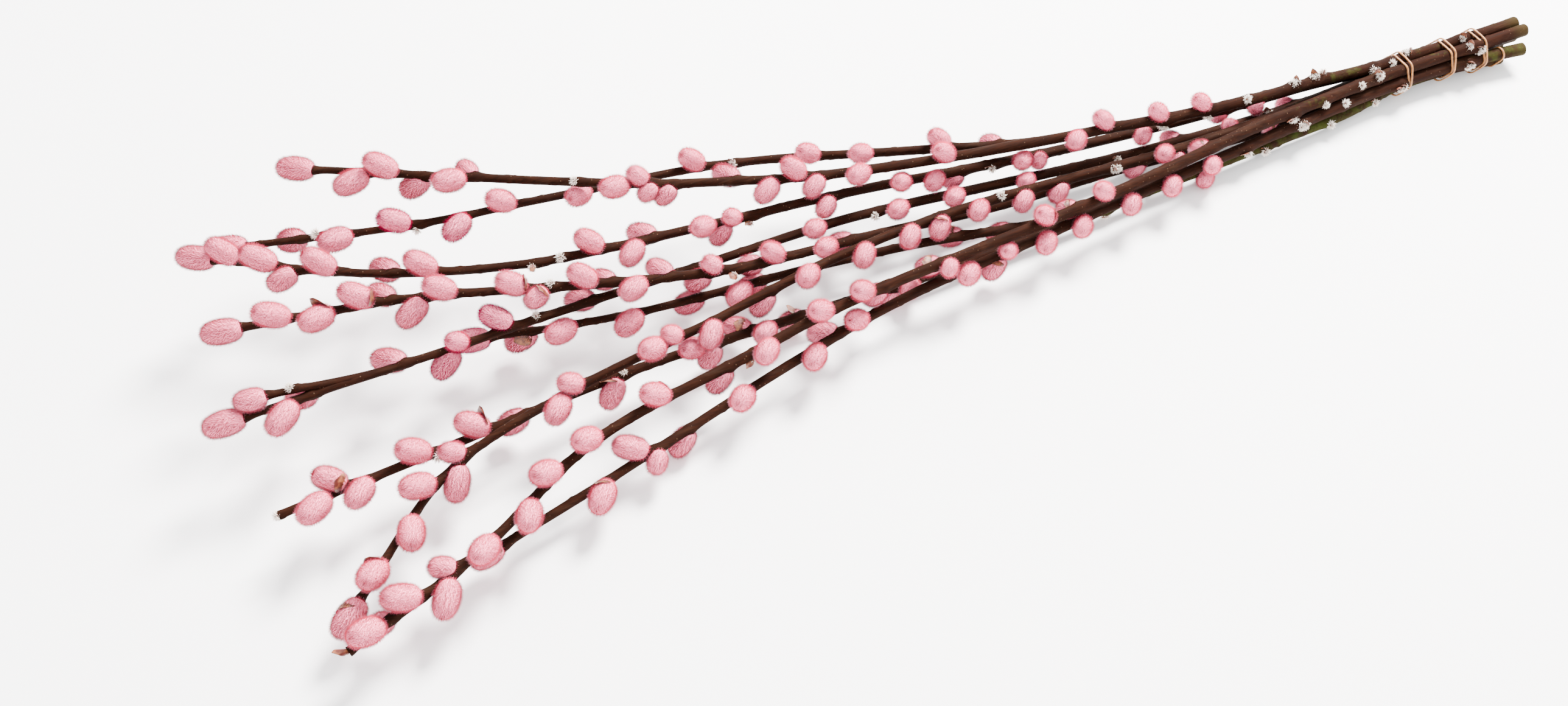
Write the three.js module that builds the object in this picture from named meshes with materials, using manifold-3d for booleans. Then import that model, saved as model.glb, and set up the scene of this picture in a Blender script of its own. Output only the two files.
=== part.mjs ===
// A bunch of pussy-willow rods in catkin, held near the cut ends by rubber bands and lying down.
// Millimetres. +X runs from the tips to the cut ends, +Z is up, and Z = 0 is the lowest point.
import * as THREE from 'three';
import { mergeVertices } from 'three/addons/utils/BufferGeometryUtils.js';
import Module from 'manifold-3d';

const wasm = await Module();
wasm.setup();

// ---- driving dimensions -------------------------------------------------------------------
const rodSpacing = 7.8; // between the centres of neighbouring rods inside the tie
const tieCentreY = 68.5; // the middle of the tied part, across the bunch
const tieStartX = 434; // from here on the rods lie straight and packed
const splayStartX = 486; // from here to the cut ends the near rods stand away a little
const liftOffFloor = 7; // height of the lowest rods' centres in the tie
const routeLift = 3; // the routes below are measured from a floor this much higher
const rodSides = 6;
const ringStep = 27; // between the rings of a rod's skin
const closeRingStep = 9;
const closeRingsFor = 60; // this far from the thick end
const thinning = 1.05; // 1 for a rod that gains girth evenly from tip to cut end
const sampleStep = 4; // between the points at which a rod is tested for room
const lineDivisions = 600;

const catkinLongest = 22.5; // at the tip of a rod
const catkinShrink = 0.0165; // length lost for each millimetre further from the tip
const catkinStoutness = 4; // the widest radius is this much more than the share of the length below
const catkinGirth = 0.135;
const catkinLean = THREE.MathUtils.degToRad(42); // between a catkin and its rod
const tipInset = 3; // how far the catkin at a rod's tip sits back over it
const budLength = 6.5;
const budStoutness = 0;
const budGirth = 0.3;
const budLean = THREE.MathUtils.degToRad(36);
const seatDepth = 0.4; // of the rod's radius: how far off the rod's middle a spindle starts
const sizesTried = [1, 0.92, 0.84, 0.76, 0.68, 0.6, 0.52, 0.45];
const turnsTried = [0, 0.5, -0.5, 1, -1, 1.5, -1.5, 2, -2, 2.5, -2.5, 3, -3]; // hours
const hoursForFullSize = 6; // an hour's turn is as bad as losing a sixth of the size
const furGap = 0.35; // kept between neighbouring solids

const bandRadius = 0.65;
const bandRise = 0.75; // how far one turn of a band rides over the other
const bandSides = 5;
const bandSteps = 30;
const bandGap = 0.8; // to the rods, so that a band's straight facets clear them
const bandLooks = 180; // directions tried for the taut outline

// ---- the rods -----------------------------------------------------------------------------
// slot: column and layer in the tie. end: X of the cut end. radii: tip and cut end.
// route: from the tip towards the tie. catkins and buds: distance from the tip, and the side of the
// rod as an hour of the clock seen from the cut end, 12 up and 9 towards -Y. A stem has a catkin at its
// tip, or a bud where endsInBud is set.
const rods = [
  {
    name: 'rod_top_far', splay: 0, slot: [-0.5, 2], end: 536, radii: [2.1, 3.8], bark: 0x4a2f2a,
    route: [[-191, 181, 66], [-111, 147, 59], [-30, 115, 52], [54, 92, 45], [140, 79, 39],
      [227, 71, 33], [315, 65, 26], [402, 65, 20]],
    catkins: [[10, 0.5], [30, 9], [45, 11.5], [60, 6], [80, 10], [85, 0], [165, 10], [175, 0],
      [180, 9], [190, 7.5], [225, 3.5], [245, 8.5], [245, 11.5], [260, 12], [270, 9], [295, 10],
      [345, 11.5], [385, 0], [425, 9.5], [445, 0.5], [445, 9], [480, 0], [485, 6], [510, 0.5]],
    buds: [[140, 11], [435, 12], [480, 8], [515, 7], [540, 11], [575, 12], [590, 12], [600, 1],
      [635, 9], [650, 9], [662, 12], [705, 11]],
    branches: [{
      radii: [1.9, 2.8],
      route: [[-235, 161, 46], [-152, 142, 45], [-66, 134, 42], [20, 127, 37], [103, 105, 33],
        [182, 75, 36]],
      catkins: [[30, 4.5], [30, 9], [55, 10], [60, 8.5], [85, 11.5], [115, 9], [140, 11.5],
        [180, 10.5], [245, 0], [310, 11], [340, 10.5], [345, 11.5], [385, 0.5], [415, 4]],
      buds: [[40, 12], [90, 8], [265, 10]],
    }],
  },
  {
    name: 'rod_middle_far', splay: 0, slot: [0, 1], end: 534, radii: [2.1, 3.8], bark: 0x46302a,
    route: [[-251, 152, 52], [-178, 113, 48], [-98, 92, 43], [-15, 88, 37], [68, 85, 32],
      [151, 79, 26], [234, 75, 19], [317, 73, 15], [400, 72, 12]],
    catkins: [[10, 7.5], [15, 12], [35, 11.5], [45, 8.5], [65, 0], [95, 4], [115, 0], [200, 0.5],
      [220, 9], [230, 3.5], [260, 10.5], [270, 7.5], [275, 8.5], [330, 8.5], [375, 10.5],
      [395, 9], [410, 6], [450, 11], [460, 9], [530, 9.5], [590, 6.5], [610, 9]],
    buds: [[165, 9], [180, 11], [285, 7], [430, 9], [460, 7], [605, 10]],
    branches: [],
  },
  {
    name: 'rod_bottom_middle', splay: 0, slot: [-0.5, 0], end: 531, radii: [2, 3.8],
    bark: 0x3b2622,
    route: [[-246, 102, 50], [-165, 92, 46], [-86, 72, 40], [-6, 58, 31], [76, 59, 21],
      [157, 58, 12], [239, 62, 5], [321, 57, 4], [403, 58, 4]],
    catkins: [[25, 11.5], [45, 10], [65, 0], [75, 3.5], [90, 8], [105, 11.5], [140, 11.5],
      [150, 9], [175, 0], [185, 5.5], [200, 9.5], [215, 4], [235, 5.5], [240, 0.5],
      [265, 4.5], [275, 0], [305, 10.5], [320, 4.5]],
    buds: [[155, 0], [250, 8]],
    branches: [],
  },
  {
    name: 'rod_bottom_far', splay: 0, slot: [0.5, 0], end: 535, radii: [2, 3.8], bark: 0x402a25,
    route: [[-255, 54, 42], [-173, 60, 36], [-91, 67, 30], [-9, 72, 25], [73, 73, 24],
      [156, 70, 17], [238, 65, 12], [320, 65, 6], [403, 67, 4]],
    catkins: [[25, 9], [35, 4], [80, 3.5], [80, 9.5], [105, 6.5], [110, 11], [135, 1.5],
      [180, 4], [310, 10.5], [360, 9], [395, 9], [440, 10.5], [545, 3.5], [580, 10], [630, 4]],
    buds: [[60, 8], [150, 0], [345, 9], [500, 10], [610, 11]],
    branches: [{
      radii: [1.5, 2],
      route: [[-243, 58, 47], [-221, 59, 43], [-199, 59, 37]],
      catkins: [[35, 0.5]],
      buds: [[15, 12]],
    }],
  },
  {
    name: 'rod_middle_inner', splay: 0, slot: [-1, 1], end: 535, radii: [2, 3.8], bark: 0x45302a,
    route: [[-228, -48, 16], [-174, 0, 23], [-104, 19, 27], [-32, 28, 31], [40, 41, 33],
      [112, 51, 28], [185, 54, 22], [258, 54, 16], [331, 56, 13], [404, 61, 12]],
    catkins: [[20, 11.5], [45, 10], [65, 0.5], [80, 8], [85, 10.5], [140, 9.5], [150, 12],
      [195, 11], [205, 12], [225, 9], [260, 6], [285, 10], [320, 9], [350, 9], [370, 7.5],
      [395, 9.5], [425, 8.5], [430, 6.5], [450, 7.5], [505, 6], [520, 10.5], [530, 7.5]],
    buds: [[145, 11], [410, 11], [485, 10]],
    branches: [],
  },
  {
    name: 'rod_bottom_near', splay: 5, slot: [-1.5, 0], end: 520, radii: [2, 3.8], bark: 0x3f3a26,
    route: [[-253, 5, 26], [-161, 16, 20], [-68, 27, 16], [26, 29, 11], [119, 31, 7],
      [213, 37, 6], [307, 43, 5], [400, 49, 4]],
    catkins: [[25, 10], [35, 0.5], [45, 9.5], [75, 0], [105, 0], [105, 10.5], [125, 5], [175, 8],
      [175, 10], [220, 11], [230, 7], [250, 3.5], [260, 10.5], [280, 5], [335, 6], [345, 9.5],
      [475, 6.5], [545, 6.5]],
    buds: [[80, 11], [180, 11], [590, 9], [640, 9.5], [677, 9.5], [696, 9]],
    endsInBud: true,
    branches: [{
      radii: [1.9, 2.8],
      route: [[-135, 72, 22], [-56, 61, 17], [24, 56, 16], [103, 46, 17], [160, 39, 12],
        [212, 37, 6]],
      catkins: [[25, 5.5], [45, 10], [80, 9.5], [115, 5], [140, 9.5], [150, 5], [265, 4],
        [295, 5]],
      buds: [[130, 8]],
    }],
  },
  {
    name: 'rod_top_near', splay: 0, slot: [-1.5, 2], end: 537, radii: [2.1, 3.8], bark: 0x50362f,
    route: [[-239, -71, 18], [-171, -47, 20], [-107, -13, 25], [-35, 1, 27], [37, 13, 30],
      [111, 20, 29], [184, 26, 27], [257, 36, 24], [329, 47, 22], [402, 54, 19]],
    catkins: [[20, 11.5], [25, 2], [25, 10], [40, 0.5], [55, 9], [60, 11], [80, 11],
      [85, 0.5], [105, 10], [125, 12], [150, 11.5], [190, 0], [225, 6], [250, 10], [285, 11.5],
      [310, 11.5], [320, 5.5], [355, 4.5], [360, 6], [425, 12], [445, 4], [445, 10], [465, 0],
      [545, 4], [545, 10.5]],
    buds: [[45, 0], [240, 8], [320, 11], [420, 10], [610, 8], [635, 9], [664, 10.5], [680, 11],
      [751, 11], [758, 9]],
    endsInBud: true,
    branches: [],
  },
  {
    name: 'rod_middle_near', splay: 5, slot: [-2, 1], end: 531, radii: [2.1, 3.8], bark: 0x4c332b,
    route: [[-163, -43, 12], [-83, -23, 13], [-4, -2, 14], [76, 15, 16], [158, 23, 17],
      [239, 33, 15], [321, 42, 13], [402, 50, 12]],
    catkins: [[60, 9.5], [85, 1.5], [90, 11.5], [110, 6], [145, 10.5], [190, 10], [190, 12],
      [205, 3.5], [220, 11.5], [290, 10], [310, 6.5], [315, 10.5], [340, 9.5], [365, 9.5],
      [400, 10.5], [430, 9.5], [460, 10.5], [515, 3.5]],
    buds: [[200, 8], [490, 8], [530, 10], [566, 11], [612, 9], [665, 9]],
    branches: [],
  },
];

// Each band is one loop, `turns` times round the rods it holds, spread over `width` along X.
const bands = [
  { name: 'rubber_band_inner', x: 442, width: 4.5, turns: 2, holds: rods.map((rod) => rod.name) },
  { name: 'rubber_band_middle', x: 476, width: 3, turns: 2, holds: rods.map((rod) => rod.name) },
  { name: 'rubber_band_outer', x: 500, width: 3.4, turns: 2, holds: rods.map((rod) => rod.name) },
  {
    name: 'rubber_band_small', x: 514, width: 0, turns: 1,
    holds: ['rod_middle_near', 'rod_bottom_near'],
  },
];

const barkRoughness = 0.75;
const rubberColour = 0xc99a66;
const rubberRoughness = 0.6;

// ---- geometry helpers -----------------------------------------------------------------------
const up = new THREE.Vector3(0, 0, 1);

// The two directions square to `along`: one as near to straight up as it can be, one to the right
// of it when looking along.
function crossDirections(along) {
  const top = up.clone().addScaledVector(along, -along.z).normalize();
  return { top, right: new THREE.Vector3().crossVectors(along, top) };
}

function ring(centre, along, radius, sides) {
  const { top, right } = crossDirections(along);
  return Array.from({ length: sides }, (_, k) => {
    const angle = (2 * Math.PI * k) / sides;
    return centre.clone()
      .addScaledVector(top, radius * Math.cos(angle))
      .addScaledVector(right, radius * Math.sin(angle));
  });
}

// A closed skin over a row of rings, with a point at each end.
function skin(first, rings, last) {
  const sides = rings[0].length;
  const points = [first, ...rings.flat(), last];
  const faces = [];
  const at = (row, k) => 1 + row * sides + (k % sides);
  for (let k = 0; k < sides; k += 1) {
    faces.push(0, at(0, k + 1), at(0, k));
    for (let row = 0; row + 1 < rings.length; row += 1) {
      faces.push(at(row, k), at(row + 1, k + 1), at(row + 1, k));
      faces.push(at(row, k), at(row, k + 1), at(row + 1, k + 1));
    }
    faces.push(at(rings.length - 1, k), at(rings.length - 1, k + 1), points.length - 1);
  }
  return new wasm.Manifold(new wasm.Mesh({
    numProp: 3,
    vertProperties: new Float32Array(points.flatMap((point) => point.toArray())),
    triVerts: new Uint32Array(faces),
  }));
}

function geometryOf(manifold) {
  const mesh = manifold.getMesh();
  const geometry = new THREE.BufferGeometry();
  const positions = new Float32Array(mesh.vertProperties);
  geometry.setAttribute('position', new THREE.BufferAttribute(positions, 3));
  geometry.setIndex(new THREE.BufferAttribute(new Uint32Array(mesh.triVerts), 1));
  return geometry;
}

// ---- stems ------------------------------------------------------------------------------------
// A stem is a smooth line with a girth: a whole rod, or a branch that leaves one.
function makeStem(route, radii) {
  const line = new THREE.CatmullRomCurve3(route, false, 'catmullrom', 0.5);
  line.arcLengthDivisions = lineDivisions;
  const length = line.getLength();
  const stem = { line, length, radii, catkinCount: 0 };
  stem.radiusAt = (distance) => radii[0] + (radii[1] - radii[0]) * (distance / length) ** thinning;
  stem.samples = Array.from({ length: Math.ceil(length / sampleStep) + 1 }, (_, k) => {
    const distance = Math.min(sampleStep * k, length);
    return { centre: line.getPointAt(distance / length), radius: stem.radiusAt(distance) };
  });
  return stem;
}

function rodStem(rod) {
  const [column, layer] = rod.slot;
  const y = tieCentreY + column * rodSpacing;
  const z = liftOffFloor + layer * rodSpacing * Math.sin(Math.PI / 3);
  const packed = [tieStartX, splayStartX].map((x) => new THREE.Vector3(x, y, z));
  const cutEnd = new THREE.Vector3(rod.end, y - rod.splay, z);
  return makeStem([...liftedRoute(rod.route), ...packed, cutEnd], rod.radii);
}

function liftedRoute(route) {
  return route.map(([x, y, z]) => new THREE.Vector3(x, y, z + routeLift));
}

// Rings stand closer together towards the thick end, where the rods bend apart inside the bands.
function stemSolid(stem) {
  const fromCutEnd = [];
  for (let back = 0; back < stem.length; back += back < closeRingsFor ? closeRingStep : ringStep) {
    fromCutEnd.push(back);
  }
  const distances = [0, ...fromCutEnd.reverse().map((back) => stem.length - back)];
  const rings = distances.map((distance) => {
    const part = distance / stem.length;
    const along = stem.line.getTangentAt(part);
    return ring(stem.line.getPointAt(part), along, stem.radiusAt(distance), rodSides);
  });
  return skin(stem.line.getPointAt(0), rings, stem.line.getPointAt(1));
}

// ---- catkins and buds ---------------------------------------------------------------------------
// Both are spindles that leave the stem towards its tip. `profile` has the distance along the
// spindle and the radius there, as parts of its length and girth.
const catkinShape = {
  sides: 6,
  lean: catkinLean,
  stoutness: catkinStoutness,
  girth: catkinGirth,
  profile: [[0.34, 0.92], [0.72, 0.9]],
};
const budShape = {
  sides: 5,
  lean: budLean,
  stoutness: budStoutness,
  girth: budGirth,
  profile: [[0.35, 0.95], [0.7, 0.75]],
};
const furProfile = [[0.2, 0.75], [0.4, 1], [0.62, 1], [0.82, 0.75]];

function spindle(stem, shape, distance, hour, length, radius) {
  const part = Math.min(distance / stem.length, 1);
  const outward = stem.line.getTangentAt(part).negate();
  const { top, right } = crossDirections(outward);
  const angle = (hour * Math.PI) / 6;
  const side = top.multiplyScalar(Math.cos(angle)).addScaledVector(right, Math.sin(angle));
  const lean = distance > 0 ? shape.lean : 0;
  const axis = outward.multiplyScalar(Math.cos(lean)).addScaledVector(side, Math.sin(lean));
  const base = stem.line.getPointAt(part);
  if (lean > 0) {
    base.addScaledVector(side, seatDepth * stem.radiusAt(distance));
  } else {
    base.addScaledVector(axis, -tipInset);
  }
  return { stem, shape, base, axis, length, radius };
}

function spindleSolid({ shape, base, axis, length, radius }) {
  const pointAt = (part) => base.clone().addScaledVector(axis, part * length);
  const rings = shape.profile.map(([part, girth]) => (
    ring(pointAt(part), axis, girth * radius, shape.sides)));
  return skin(base, rings, pointAt(1));
}

function furBalls({ base, axis, length, radius }) {
  return furProfile.map(([part, girth]) => ({
    centre: base.clone().addScaledVector(axis, part * length),
    radius: girth * radius,
  }));
}

function apart(a, b) {
  return a.centre.distanceTo(b.centre) > a.radius + b.radius + furGap;
}

// True when the spindle is clear of the floor, of every other stem and of what is already placed.
function hasRoom(candidate, stems, placed) {
  const balls = furBalls(candidate);
  return balls.every((ball) => ball.centre.z > ball.radius)
    && placed.every((other) => (
      balls.every((ball) => other.balls.every((taken) => apart(ball, taken)))))
    && stems.every((stem) => stem === candidate.stem
      || balls.every((ball) => stem.samples.every((sample) => apart(ball, sample))));
}

// Every size and turn, the ones nearest to what the spindle would like first.
const attempts = sizesTried
  .flatMap((size) => turnsTried.map((turn) => ({ size, turn })))
  .map((attempt) => ({
    ...attempt,
    loss: Math.abs(attempt.turn) + hoursForFullSize * (1 - attempt.size),
  }))
  .sort((a, b) => a.loss - b.loss);

// Shrinks the spindle and turns it round its stem until it has room. One that finds none stays out.
function place(stem, shape, distance, hour, length, stems, placed) {
  const radius = shape.stoutness + shape.girth * length;
  for (const { size, turn } of attempts) {
    const candidate = spindle(stem, shape, distance, hour + turn, size * length, size * radius);
    if (hasRoom(candidate, stems, placed)) {
      placed.push({ ...candidate, balls: furBalls(candidate) });
      return;
    }
  }
}

// ---- bands ------------------------------------------------------------------------------------
// How far the taut outline round a few circles lies from their middle, in the direction `angle`.
function tautReach(circles, middle, angle) {
  const normals = Array.from({ length: bandLooks }, (_, k) => (
    angle + Math.PI * ((k + 0.5) / bandLooks - 0.5)));
  const reaches = normals.map((normal) => {
    const support = Math.max(...circles.map(({ y, z, radius }) => (y - middle.y) * Math.cos(normal)
      + (z - middle.z) * Math.sin(normal) + radius));
    return support / Math.cos(normal - angle);
  });
  return Math.min(...reaches);
}

function stemAtX(stem, x) {
  const gap = (sample) => Math.abs(sample.centre.x - x);
  const nearest = stem.samples.reduce((a, b) => (gap(b) < gap(a) ? b : a));
  return { y: nearest.centre.y, z: nearest.centre.z, radius: nearest.radius };
}

// A band that goes round twice crosses itself once: there one turn rides over the other.
function bandGeometry(band, stemsByName) {
  const circles = band.holds.map((name) => stemAtX(stemsByName[name], band.x));
  const middle = {
    y: circles.reduce((sum, circle) => sum + circle.y, 0) / circles.length,
    z: circles.reduce((sum, circle) => sum + circle.z, 0) / circles.length,
  };
  const steps = bandSteps * band.turns;
  const points = Array.from({ length: steps }, (_, k) => {
    const angle = (2 * Math.PI * band.turns * k) / steps;
    const slow = angle / band.turns;
    const rise = band.turns > 1 ? bandRise * (1 + Math.sin(slow)) : 0;
    const reach = tautReach(circles, middle, angle) + bandGap + bandRadius + rise;
    return new THREE.Vector3(
      band.x + (band.width / 2) * Math.cos(slow),
      middle.y + reach * Math.cos(angle),
      middle.z + reach * Math.sin(angle),
    );
  });
  const loop = new THREE.CatmullRomCurve3(points, true);
  const geometry = new THREE.TubeGeometry(loop, steps, bandRadius, bandSides, true);
  geometry.deleteAttribute('normal');
  geometry.deleteAttribute('uv');
  return mergeVertices(geometry, 1e-3);
}

// ---- the bunch ----------------------------------------------------------------------------------
const plants = rods.map((rod) => {
  const main = rodStem(rod);
  const branches = rod.branches.map((branch) => makeStem(liftedRoute(branch.route), branch.radii));
  const side = branches.map((stem, k) => ({ stem, grows: rod.branches[k] }));
  return { rod, parts: [{ stem: main, grows: rod }, ...side] };
});
const allStems = plants.flatMap((plant) => plant.parts.map((part) => part.stem));
const placed = [];

for (const { parts } of plants) {
  for (const { stem, grows } of parts) {
    if (grows.endsInBud) {
      place(stem, budShape, 0, 12, budLength, allStems, placed);
    } else {
      place(stem, catkinShape, 0, 12, catkinLongest, allStems, placed);
    }
  }
}
for (const { parts } of plants) {
  for (const { stem, grows } of parts) {
    for (const [distance, hour] of grows.catkins) {
      const length = catkinLongest - catkinShrink * distance;
      place(stem, catkinShape, distance, hour, length, allStems, placed);
    }
    for (const [distance, hour] of grows.buds) {
      place(stem, budShape, distance, hour, budLength, allStems, placed);
    }
  }
}

function finish(color, roughness) {
  return new THREE.MeshStandardMaterial({ color, roughness, metalness: 0 });
}

const bunch = new THREE.Group();
for (const { rod, parts } of plants) {
  const stems = parts.map((part) => part.stem);
  const grown = placed.filter((item) => stems.includes(item.stem));
  const solid = [...stems.map(stemSolid), ...grown.map(spindleSolid)].reduce((a, b) => a.add(b));
  const material = finish(rod.bark, barkRoughness);
  const mesh = new THREE.Mesh(geometryOf(solid), material);
  mesh.name = rod.name;
  bunch.add(mesh);
}

const stemsByName = Object.fromEntries(plants.map(({ rod, parts }) => [rod.name, parts[0].stem]));
for (const band of bands) {
  const material = finish(rubberColour, rubberRoughness);
  const mesh = new THREE.Mesh(bandGeometry(band, stemsByName), material);
  mesh.name = band.name;
  bunch.add(mesh);
}

// The origin is under the middle of the bunch, on the surface it lies on.
const box = new THREE.Box3().setFromObject(bunch);
const centre = box.getCenter(new THREE.Vector3());
bunch.position.set(-centre.x, -centre.y, -box.min.z);

const part = new THREE.Group();
part.add(bunch);

export default part;
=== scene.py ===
"""A tied bunch of dyed pussy willow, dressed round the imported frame.

The frame holds each rod as one plain solid with faceted spindles for its catkins and buds. This
script reads the rods' lines, girths, catkins and buds back from those solids, and grows the real
surfaces there: ridged bark, hairy catkins, bud scales, tufts of bud hair and rubber bands.
"""
import logging
import math
from dataclasses import dataclass, field, replace
from enum import Enum
from typing import Any, Iterable, Optional, Sequence, Union

import bmesh
import bpy
import numpy as np
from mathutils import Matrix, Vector
from mathutils.bvhtree import BVHTree


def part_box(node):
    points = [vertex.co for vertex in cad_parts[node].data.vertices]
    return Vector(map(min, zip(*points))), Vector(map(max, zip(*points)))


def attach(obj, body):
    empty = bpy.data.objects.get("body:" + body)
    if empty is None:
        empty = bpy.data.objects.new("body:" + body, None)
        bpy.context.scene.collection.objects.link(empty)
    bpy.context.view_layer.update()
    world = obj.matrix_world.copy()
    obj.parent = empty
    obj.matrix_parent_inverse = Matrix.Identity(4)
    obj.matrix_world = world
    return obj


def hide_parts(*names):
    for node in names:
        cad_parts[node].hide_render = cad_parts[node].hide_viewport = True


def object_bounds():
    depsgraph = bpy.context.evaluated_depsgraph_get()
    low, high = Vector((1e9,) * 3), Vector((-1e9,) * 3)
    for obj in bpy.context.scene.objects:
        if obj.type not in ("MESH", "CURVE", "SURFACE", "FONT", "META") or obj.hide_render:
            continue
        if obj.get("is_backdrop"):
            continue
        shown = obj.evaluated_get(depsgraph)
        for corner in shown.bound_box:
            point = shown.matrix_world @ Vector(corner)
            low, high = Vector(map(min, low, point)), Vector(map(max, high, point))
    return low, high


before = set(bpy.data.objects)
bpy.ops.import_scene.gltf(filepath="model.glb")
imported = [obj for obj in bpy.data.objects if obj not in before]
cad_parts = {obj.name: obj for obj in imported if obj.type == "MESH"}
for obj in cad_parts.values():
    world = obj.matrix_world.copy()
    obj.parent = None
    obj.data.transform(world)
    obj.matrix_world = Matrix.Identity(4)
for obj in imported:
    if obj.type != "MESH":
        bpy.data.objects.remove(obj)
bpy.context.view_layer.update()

LOG = logging.getLogger("willow")
MM = 0.001
GOLDEN_ANGLE = math.pi * (3 - math.sqrt(5))
BODY = "root"
BAKE_MAP = "OFBake"
Colour = tuple[float, float, float]
Array = np.ndarray


# ---- vectors --------------------------------------------------------------------------------
def unit(vectors: Array) -> Array:
    """Scale vectors to length one.

    Args:
        vectors: One vector, or rows of them.

    Returns:
        The same shape, each vector of length one.
    """
    return vectors / np.maximum(np.linalg.norm(vectors, axis=-1, keepdims=True), 1e-12)


def square_to(along: Array) -> tuple[Array, Array]:
    """Find two directions square to a direction and to each other.

    Args:
        along: A direction, or rows of them.

    Returns:
        The one nearest to straight up, and the one to its right when looking along.
    """
    up = np.array([0.0, 0.0, 1.0]) + 0 * along
    steep = np.abs(along[..., 2:3]) > 0.95
    up = np.where(steep, np.array([1.0, 0.0, 0.0]), up)
    top = unit(up - along * np.sum(up * along, axis=-1, keepdims=True))
    return top, np.cross(along, top)


def smoothed(rows: Array, spread: float) -> Array:
    """Smooth rows with a bell-shaped window, keeping both ends in place.

    Args:
        rows: Values along a line, one row for each step.
        spread: The window's spread in steps.

    Returns:
        The smoothed rows.
    """
    reach = int(3 * spread) + 1
    window = np.exp(-0.5 * (np.arange(-reach, reach + 1) / spread) ** 2)
    window /= window.sum()
    before = 2 * rows[0] - rows[reach:0:-1]
    after = 2 * rows[-1] - rows[-2:-reach - 2:-1]
    padded = np.concatenate([before, rows, after])
    columns = [np.convolve(padded[:, k], window, mode="valid") for k in range(rows.shape[1])]
    return np.stack(columns, axis=1)


def bell(values: Array, spread: float) -> Array:
    """Give a bell curve's height at each value."""
    return np.exp(-0.5 * (values / spread) ** 2)


# ---- shader maths ---------------------------------------------------------------------------
class Value:
    """One output of a shader node, so that shader maths is written as an expression."""

    def __init__(self, recipe: "Recipe", socket: bpy.types.NodeSocket) -> None:
        """Keep the recipe that owns the node, and the node's socket."""
        self.recipe = recipe
        self.socket = socket

    def _with(self, operation: str, first: "Number", second: "Number") -> "Value":
        """Add a Math node.

        Args:
            operation: The Math node's operation.
            first: Its first value.
            second: Its second value.

        Returns:
            The node's result.
        """
        return self.recipe.node("ShaderNodeMath", {"operation": operation}, {0: first, 1: second})

    def __add__(self, other: "Number") -> "Value":
        """Add."""
        return self._with("ADD", self, other)

    def __radd__(self, other: "Number") -> "Value":
        """Add, reflected."""
        return self._with("ADD", other, self)

    def __sub__(self, other: "Number") -> "Value":
        """Subtract."""
        return self._with("SUBTRACT", self, other)

    def __rsub__(self, other: "Number") -> "Value":
        """Subtract, reflected."""
        return self._with("SUBTRACT", other, self)

    def __mul__(self, other: "Number") -> "Value":
        """Multiply."""
        return self._with("MULTIPLY", self, other)

    def __rmul__(self, other: "Number") -> "Value":
        """Multiply, reflected."""
        return self._with("MULTIPLY", other, self)

    def __pow__(self, other: "Number") -> "Value":
        """Raise to a power."""
        return self._with("POWER", self, other)

    def between(self, low: float, high: float) -> "Value":
        """Rise smoothly from 0 at `low` to 1 at `high`.

        Args:
            low: Where the result leaves 0.
            high: Where it reaches 1.

        Returns:
            The smooth step.
        """
        settings = {"interpolation_type": "SMOOTHSTEP"}
        return self.recipe.node("ShaderNodeMapRange", settings, {0: self, 1: low, 2: high})


Number = Union[Value, float, int]


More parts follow.
